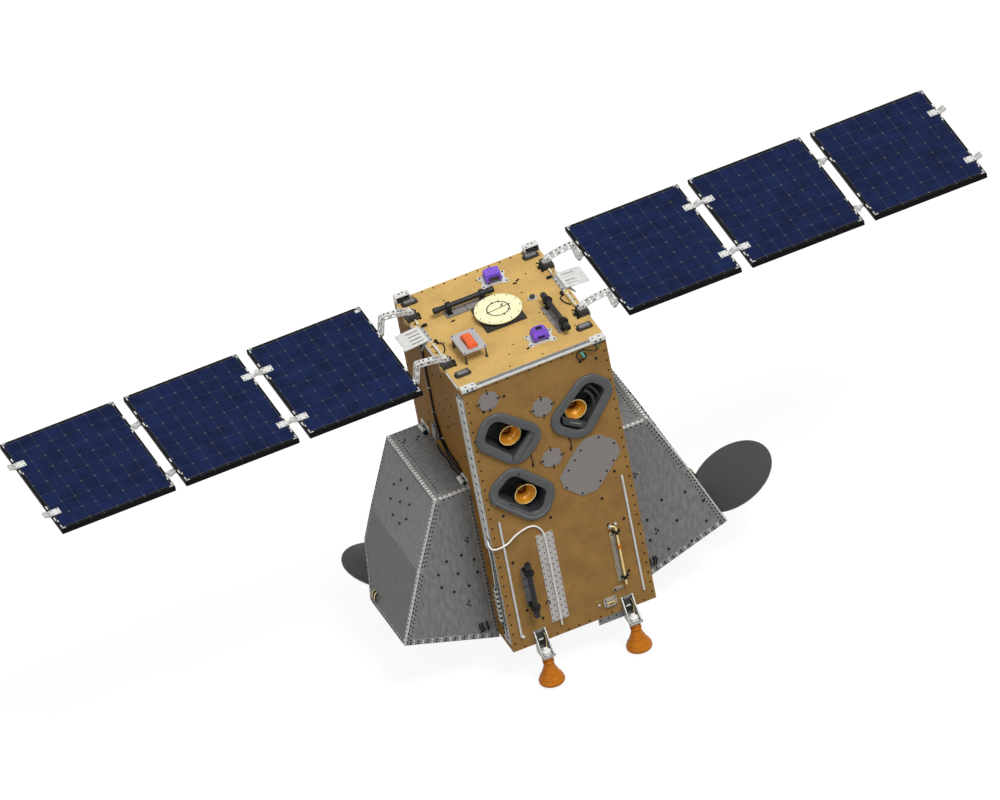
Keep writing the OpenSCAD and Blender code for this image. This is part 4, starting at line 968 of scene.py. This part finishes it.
def shroud_details(side_name, side):
    """Strips along the edges, bolt rings, a darker sheet of painted shadow on the lower face and the small
    fittings of one shroud.
    """
    m = DECK @ mirror(side)
    p = Piece()
    n_up = (0.9275, 0, 0.3739)
    n_low = (0.9396, 0, 0.3424)
    n_cut = (0.1935, 0.7949, -0.5751)
    y0, y1, cut, corner = SHROUD_FRONT, SHROUD_BACK, SHROUD_CUT, CUT_CORNER

    def at3(q, y):
        return (q[0], y, q[1])

    # top face
    flange(p, m, at3(B, y0), at3(B, y1), (-1, 0, 0), (0, 0, 1), 18, 10, end=24)
    flange(p, m, (B[0] - 26, y0 + 26, B[1]), (B[0] - 26, y1 - 22, B[1]), (-1, 0, 0), (0, 0, 1), 15)
    flange(p, m, at3(A, y0), (B[0] - 20, y0, B[1]), (0, 1, 0), (0, 0, 1), 19, 10)
    flange(p, m, at3(A, y1), (B[0] - 20, y1, B[1]), (0, -1, 0), (0, 0, 1), 17)
    # upper and lower outer faces
    flange(p, m, (B[0], y0 + 19, B[1]), (B[0], y1 - 17, B[1]), (0.3739, 0, -0.9275), n_up, 15, 4)
    for y, inward, low_end, sizes in ((y0, (0, 1, 0), D, (18, 10)), (y1, (0, -1, 0), corner, (15,))):
        flange(p, m, at3(B, y), at3(C, y), inward, n_up, *sizes)
        flange(p, m, at3(C, y), at3(low_end, y), inward, n_low, *sizes)
    flange(p, m, at3(D, cut), at3(corner, y1), (0, -1, 0.3), n_low, 15)
    flange(p, m, (D[0], y0 + 19, D[1]), (D[0], cut - 17, D[1]), (-0.3424, 0, 0.9396), n_low, 15)
    # front and back faces
    for y, n, line in ((y0, (0, -1, 0), 3.5), (y1, (0, 1, 0), 0)):
        flange(p, m, at3(A, y), (B[0] - 22, y, B[1]), (0, 0, -1), n, 16, line)
        flange(p, m, at3(B, y), at3(C, y), (-1, 0, 0), n, 14, line, end=22)
        last = D if y < 0 else corner
        flange(p, m, at3(C, y), at3(last, y), (-1, 0, 0), n, 14, line)
    for a, b in ((B, C), (C, D)):
        e = Vector((b[0] - a[0], 0, b[1] - a[1])).normalized()
        t = Vector((e.z, 0, -e.x))
        flange(p, m, Vector(at3(a, y0)) + 15 * t, Vector(at3(b, y0)) + 15 * t, t, (0, -1, 0), 13, end=26)
    flange(p, m, (348, y0, E[1] + 18 * SLOPE), (727, y0, D[1] - 19 * SLOPE), (0, 0, 1), (0, -1, 0), 26,
        rows=2, trim=8, other=0)
    flange(p, m, (331, y0, -640), (331, y0, -1396), (1, 0, 0), (0, -1, 0), 16, trim=6)
    flange(p, m, (331, y1, -640), (331, y1, -1190), (1, 0, 0), (0, 1, 0), 16, trim=6)
    flange(p, m, (332, cut, E[1] + 2 * SLOPE), (745, cut, D[1] - SLOPE), (0, 0.586, 0.810), n_cut, 18)
    flange(p, m, (332, y1, -1202.3), (675, y1, -1086.9), (0, -0.586, -0.810), n_cut, 18)
    # bolt rings
    front = plane((0, y0, 0), (1, 0, 0), (0, 0, 1)) @ mirror(side)
    cx, cz, r = (530, -1180, 140) if side > 0 else (456, -1022, 90)
    p.bolts(front, circle(r, 8, 20, cx, cz) + [(cx, cz)], 6.4, 4, 2, 8)
    p.bolts(front, [(384, -863), (386, -882), (395, -872), (431, -1183), (430, -1204), (440, -1194)], 4.6,
        3.6, 2)
    # faces' own frames: x along the shroud, y up the slope, z out of it
    up_slope, low_slope = Vector((-0.3739, 0, 0.9275)), Vector((-0.3424, 0, 0.9396))
    out, low = m @ axes((0, 1, 0), up_slope, n_up), m @ axes((0, 1, 0), low_slope, n_low)
    centre = Vector((B[0] + (781 - 617) * 129 / 320, 79, -781))
    off, cy = centre.dot(Vector(n_up)), centre.dot(up_slope)
    p.bolts(out, [(*q, off) for q in circle(92, 8, 22, 79, cy) + [(79, cy)]], 6, 4, 2, 8)
    bend = Vector(at3(C, 0))
    off_l, c_l, d_l = bend.dot(Vector(n_low)), bend.dot(low_slope), Vector(at3(D, 0)).dot(low_slope)
    # painted shadow: a darker grey sheet over the lower outer face
    p.prism(low, [(y0 + 15, d_l + 15), (cut - 10, d_l + 15), (y1 - 15, d_l + 206), (y1 - 15, c_l - 1),
        (y0 + 15, c_l - 1)], off_l - 0.2, off_l + 1, 3, 0.3)
    # small fittings on the top face and near the lower corners
    p.bolts(m @ at(0, 0, -617), [(380, 236), (392, 222), (436, 248), (448, 236)], 4.2, 4, 2)
    for k in range(4):
        p.cable(low, [(104 + 11 * k, d_l + 22, off_l), (100 + 12 * k, d_l + 34, off_l + 9),
            (108 + 11 * k, d_l + 52, off_l + 9), (106 + 12 * k, d_l + 64, off_l)], 2.2, 4 if k % 2 else 2, 8,
            4)
        p.cable(front, [(372 + 11 * k, -1362, 0), (370 + 11 * k, -1350, 9), (374 + 12 * k, -1328, 9),
            (372 + 11 * k, -1316, 0)], 3.4, 3 if k == 1 else 2, 8, 4)
    p.box(low, (98, d_l + 16, off_l), (156, d_l + 24, off_l + 7), 2, 1)
    # bright fittings between the shroud's top and the body
    for y in (-160, 262):
        f = m @ at(330, y, -617)
        p.box(f, (0, -40, 0), (26, 40, 3), 2, 0.8)
        p.box(f, (0, -40, 0), (3, 40, 38), 0, 0.8)
        for k in range(4):
            p.lathe(f @ at(13, -25 + 17 * k, 3), [(5, 0), (7, 1), (7, 9), (5, 13), (2.5, 14)],
                0 if k % 2 else 2, 10)
        p.lathe(f @ at(20, 2, 14) @ UPRIGHT, [(6, -22), (9, -20), (9, 18), (6, 20)], 0, 14)
    p.cable(m, [(338, -120, -600), (345, -60, -606), (340, 0, -602), (344, 60, -606), (338, 120, -600)], 3.6,
        2)
    p.done(f"{side_name}_shroud_details", ["bright_strip", "strip_grey", "black", "shroud_shadow_and_cable_grey", "pale_gold"])


for side_name, side in SIDES:
    shroud_details(side_name, side)

# ---- dishes

for side_name, side in SIDES:
    lean = DECK @ mirror(side) @ at(*SWING_AXIS) @ turn("Y", -LEAN)
    m = lean @ turn("Z", PARKED[side_name])
    dish = m @ at(DISH_OUT, 0, 0)
    p = Piece()
    p.lathe(dish, [(185.5, 4.1), (190, 4.1), (190.4, 6), (189.4, 8.4), (186.2, 8)], 0, 128, closed=True)
    p.lathe(dish @ at(0, 0, 18.6), [(26, 1.2), (26, -1), (23, -4), (14, -4), (13, -9), (6, -12), (0.5, -12)],
        1, 40)
    p.bolts(dish @ at(0, 0, 14.6) @ OVER, circle(18.5, 6), 2.2, 1.5, 2)
    p.done(f"{side_name}_dish_details", ["bright_strip", "dark_metal", "black"], f"{side_name}_dish_body")

    p = Piece()
    for z in (-12, 6, 30):
        p.lathe(m, [(24.8, z), (26.2, z + 1), (26.2, z + 5), (24.8, z + 6)], 0, 40, closed=True)
    p.bolts(m @ at(0, 0, -14) @ OVER, circle(17, 6, 20), 3, 2.4, 1)
    for x in (44, 108):
        p.box(m, (x - 3, -14.4, -14.4), (x + 3, 14.4, 14.4), 0, 1.5)
    p.lathe(m @ at(248, -17, 0) @ UPRIGHT, [(7, 0), (9, 1), (9, 13), (7, 15)], 1, 24)
    p.cable(m, [(24, 15.2, 0), (60, 15.2, 1), (112, 15.2, 0), (150, 15.2, -26), (184, 15.2, -54),
        (224, 15.2, -56)], 2.4, 1)
    p.done(f"{side_name}_arm_details", ["bare_metal", "black"], f"{side_name}_dish_arm_body")

    p = Piece()
    bottom = DECK @ mirror(side) @ at(D[0], 0, D[1]) @ turn("Y", -SLOPE_DEGREES)
    p.box(bottom, (-291, 76, -5), (-199, 154, 0), 0, 1)
    p.bolts(bottom @ at(0, 0, -5) @ OVER, [(x, -y) for x in (-283, -207) for y in (84, 146)], 3.6, 2.4, 1)
    p.lathe(lean, [(25, 44), (28.6, 45), (28.6, 53), (25, 54)], 0, 40, closed=True)
    p.done(f"{side_name}_post_details", ["mid_metal", "black"])

# ---- launch ring and underside

RING = Matrix.Scale(MM, 4)
p = Piece()
for z, angle in ((RING_TOP, 180), (8, 0)):
    p.bolts(RING @ at(0, 0, z) @ turn("X", angle), circle(RING_BOLT_R, 24, 7.5), 4, 4, 0, 6)
for i in range(12):
    f = RING @ turn("Z", 30 * i + 7.5)
    p.prism(f @ at(0, 2, 0) @ UPRIGHT, [(178, 8), (194, 8), (180, 40), (178, 40)], 0, 4, 1)
    p.prism(f @ at(0, 2, 0) @ UPRIGHT, [(178, 182), (178, 150), (180, 150), (194, 182)], 0, 4, 1)
p.lathe(RING, [(178.3, 92), (181.5, 93), (181.5, 99), (178.3, 100)], 1, 96, closed=True)
p.box(RING, (-200, -186, 150), (-176, -140, 186), 2, 2)
p.lathe(RING @ at(-60, -192, 60) @ UPRIGHT, [(14, 0), (14, 8), (11, 9), (11, 16), (9, 18)], 1, 24)
p.bolts(RING @ at(-60, -200, 60) @ UPRIGHT, [(0, 0, 10)], 6, 2, 0)
p.done("ring_details", ["black", "bare_metal", "dark_metal"])

# ---- floor, light and camera


GLOW, SKY_ON_SURFACES = 0.9, 0.42  # the floor as it is seen, and the sky as it lights the part


def seen_by_viewer(nt):
    """1 on camera, glossy and transmission rays and 0 on the rest."""
    path = node(nt, "LightPath").outputs
    seen = node(nt, "Math", {0: path["Is Camera Ray"], 1: path["Is Glossy Ray"]},
        operation="MAXIMUM").outputs[0]
    return node(nt, "Math", {0: seen, 1: path["Is Transmission Ray"]}, operation="MAXIMUM").outputs[0]


bpy.ops.mesh.primitive_plane_add(size=60, location=(0, 0, -0.0005))
floor = bpy.context.object
floor.name = "floor"
m = bpy.data.materials.new("floor")
m.use_nodes = True
nt = m.node_tree
nt.nodes.clear()
strength = node(nt, "Math", {0: seen_by_viewer(nt), 1: GLOW}, operation="MULTIPLY").outputs[0]
glow = node(nt, "Emission", {"Strength": strength}).outputs[0]
matte = node(nt, "BsdfDiffuse", {"Color": (0.16, 0.16, 0.16, 1)}).outputs[0]
node(nt, "OutputMaterial", {"Surface": node(nt, "AddShader", {0: glow, 1: matte}).outputs[0]})
floor.data.materials.append(m)

world = bpy.data.worlds.new("world")
bpy.context.scene.world = world
world.use_nodes = True
nt = world.node_tree
nt.nodes.clear()
level = remap(nt, seen_by_viewer(nt), 0, 1, SKY_ON_SURFACES, 1)
sky = node(nt, "Background", {"Color": (1, 1, 1, 1), "Strength": level}).outputs[0]
node(nt, "OutputWorld", {"Surface": sky})


def sun(name, direction, strength, angle):
    data = bpy.data.lights.new(name, "SUN")
    data.energy = strength
    data.angle = math.radians(angle)
    lamp = bpy.data.objects.new(name, data)
    bpy.context.scene.collection.objects.link(lamp)
    lamp.rotation_euler = Vector(direction).to_track_quat("Z", "Y").to_euler()


sun("key", (0.18, -0.42, 0.89), 2.3, 25)
sun("fill", (-0.75, -0.55, 0.35), 0.35, 40)

# The camera fitted to the photograph: far away with a long lens, so nearly parallel
CAMERA_TARGET, CAMERA_DISTANCE = Vector((-0.121, -0.247, 1.325)), 155.95
right = Vector((0.9095, -0.3856, -0.1556))
up = Vector((0.3512, 0.5120, 0.7840))
back = Vector((-0.2226, -0.7677, 0.6010))
cam_data = bpy.data.cameras.new("camera")
cam = bpy.data.objects.new("camera", cam_data)
bpy.context.scene.collection.objects.link(cam)
cam_data.sensor_width = 36
cam_data.lens = 1340
cam_data.clip_start = 1
cam_data.clip_end = 1000
cam.matrix_world = axes(right, up, back, CAMERA_TARGET + CAMERA_DISTANCE * back)
bpy.context.scene.camera = cam
bpy.context.scene.view_settings.view_transform = "Standard"
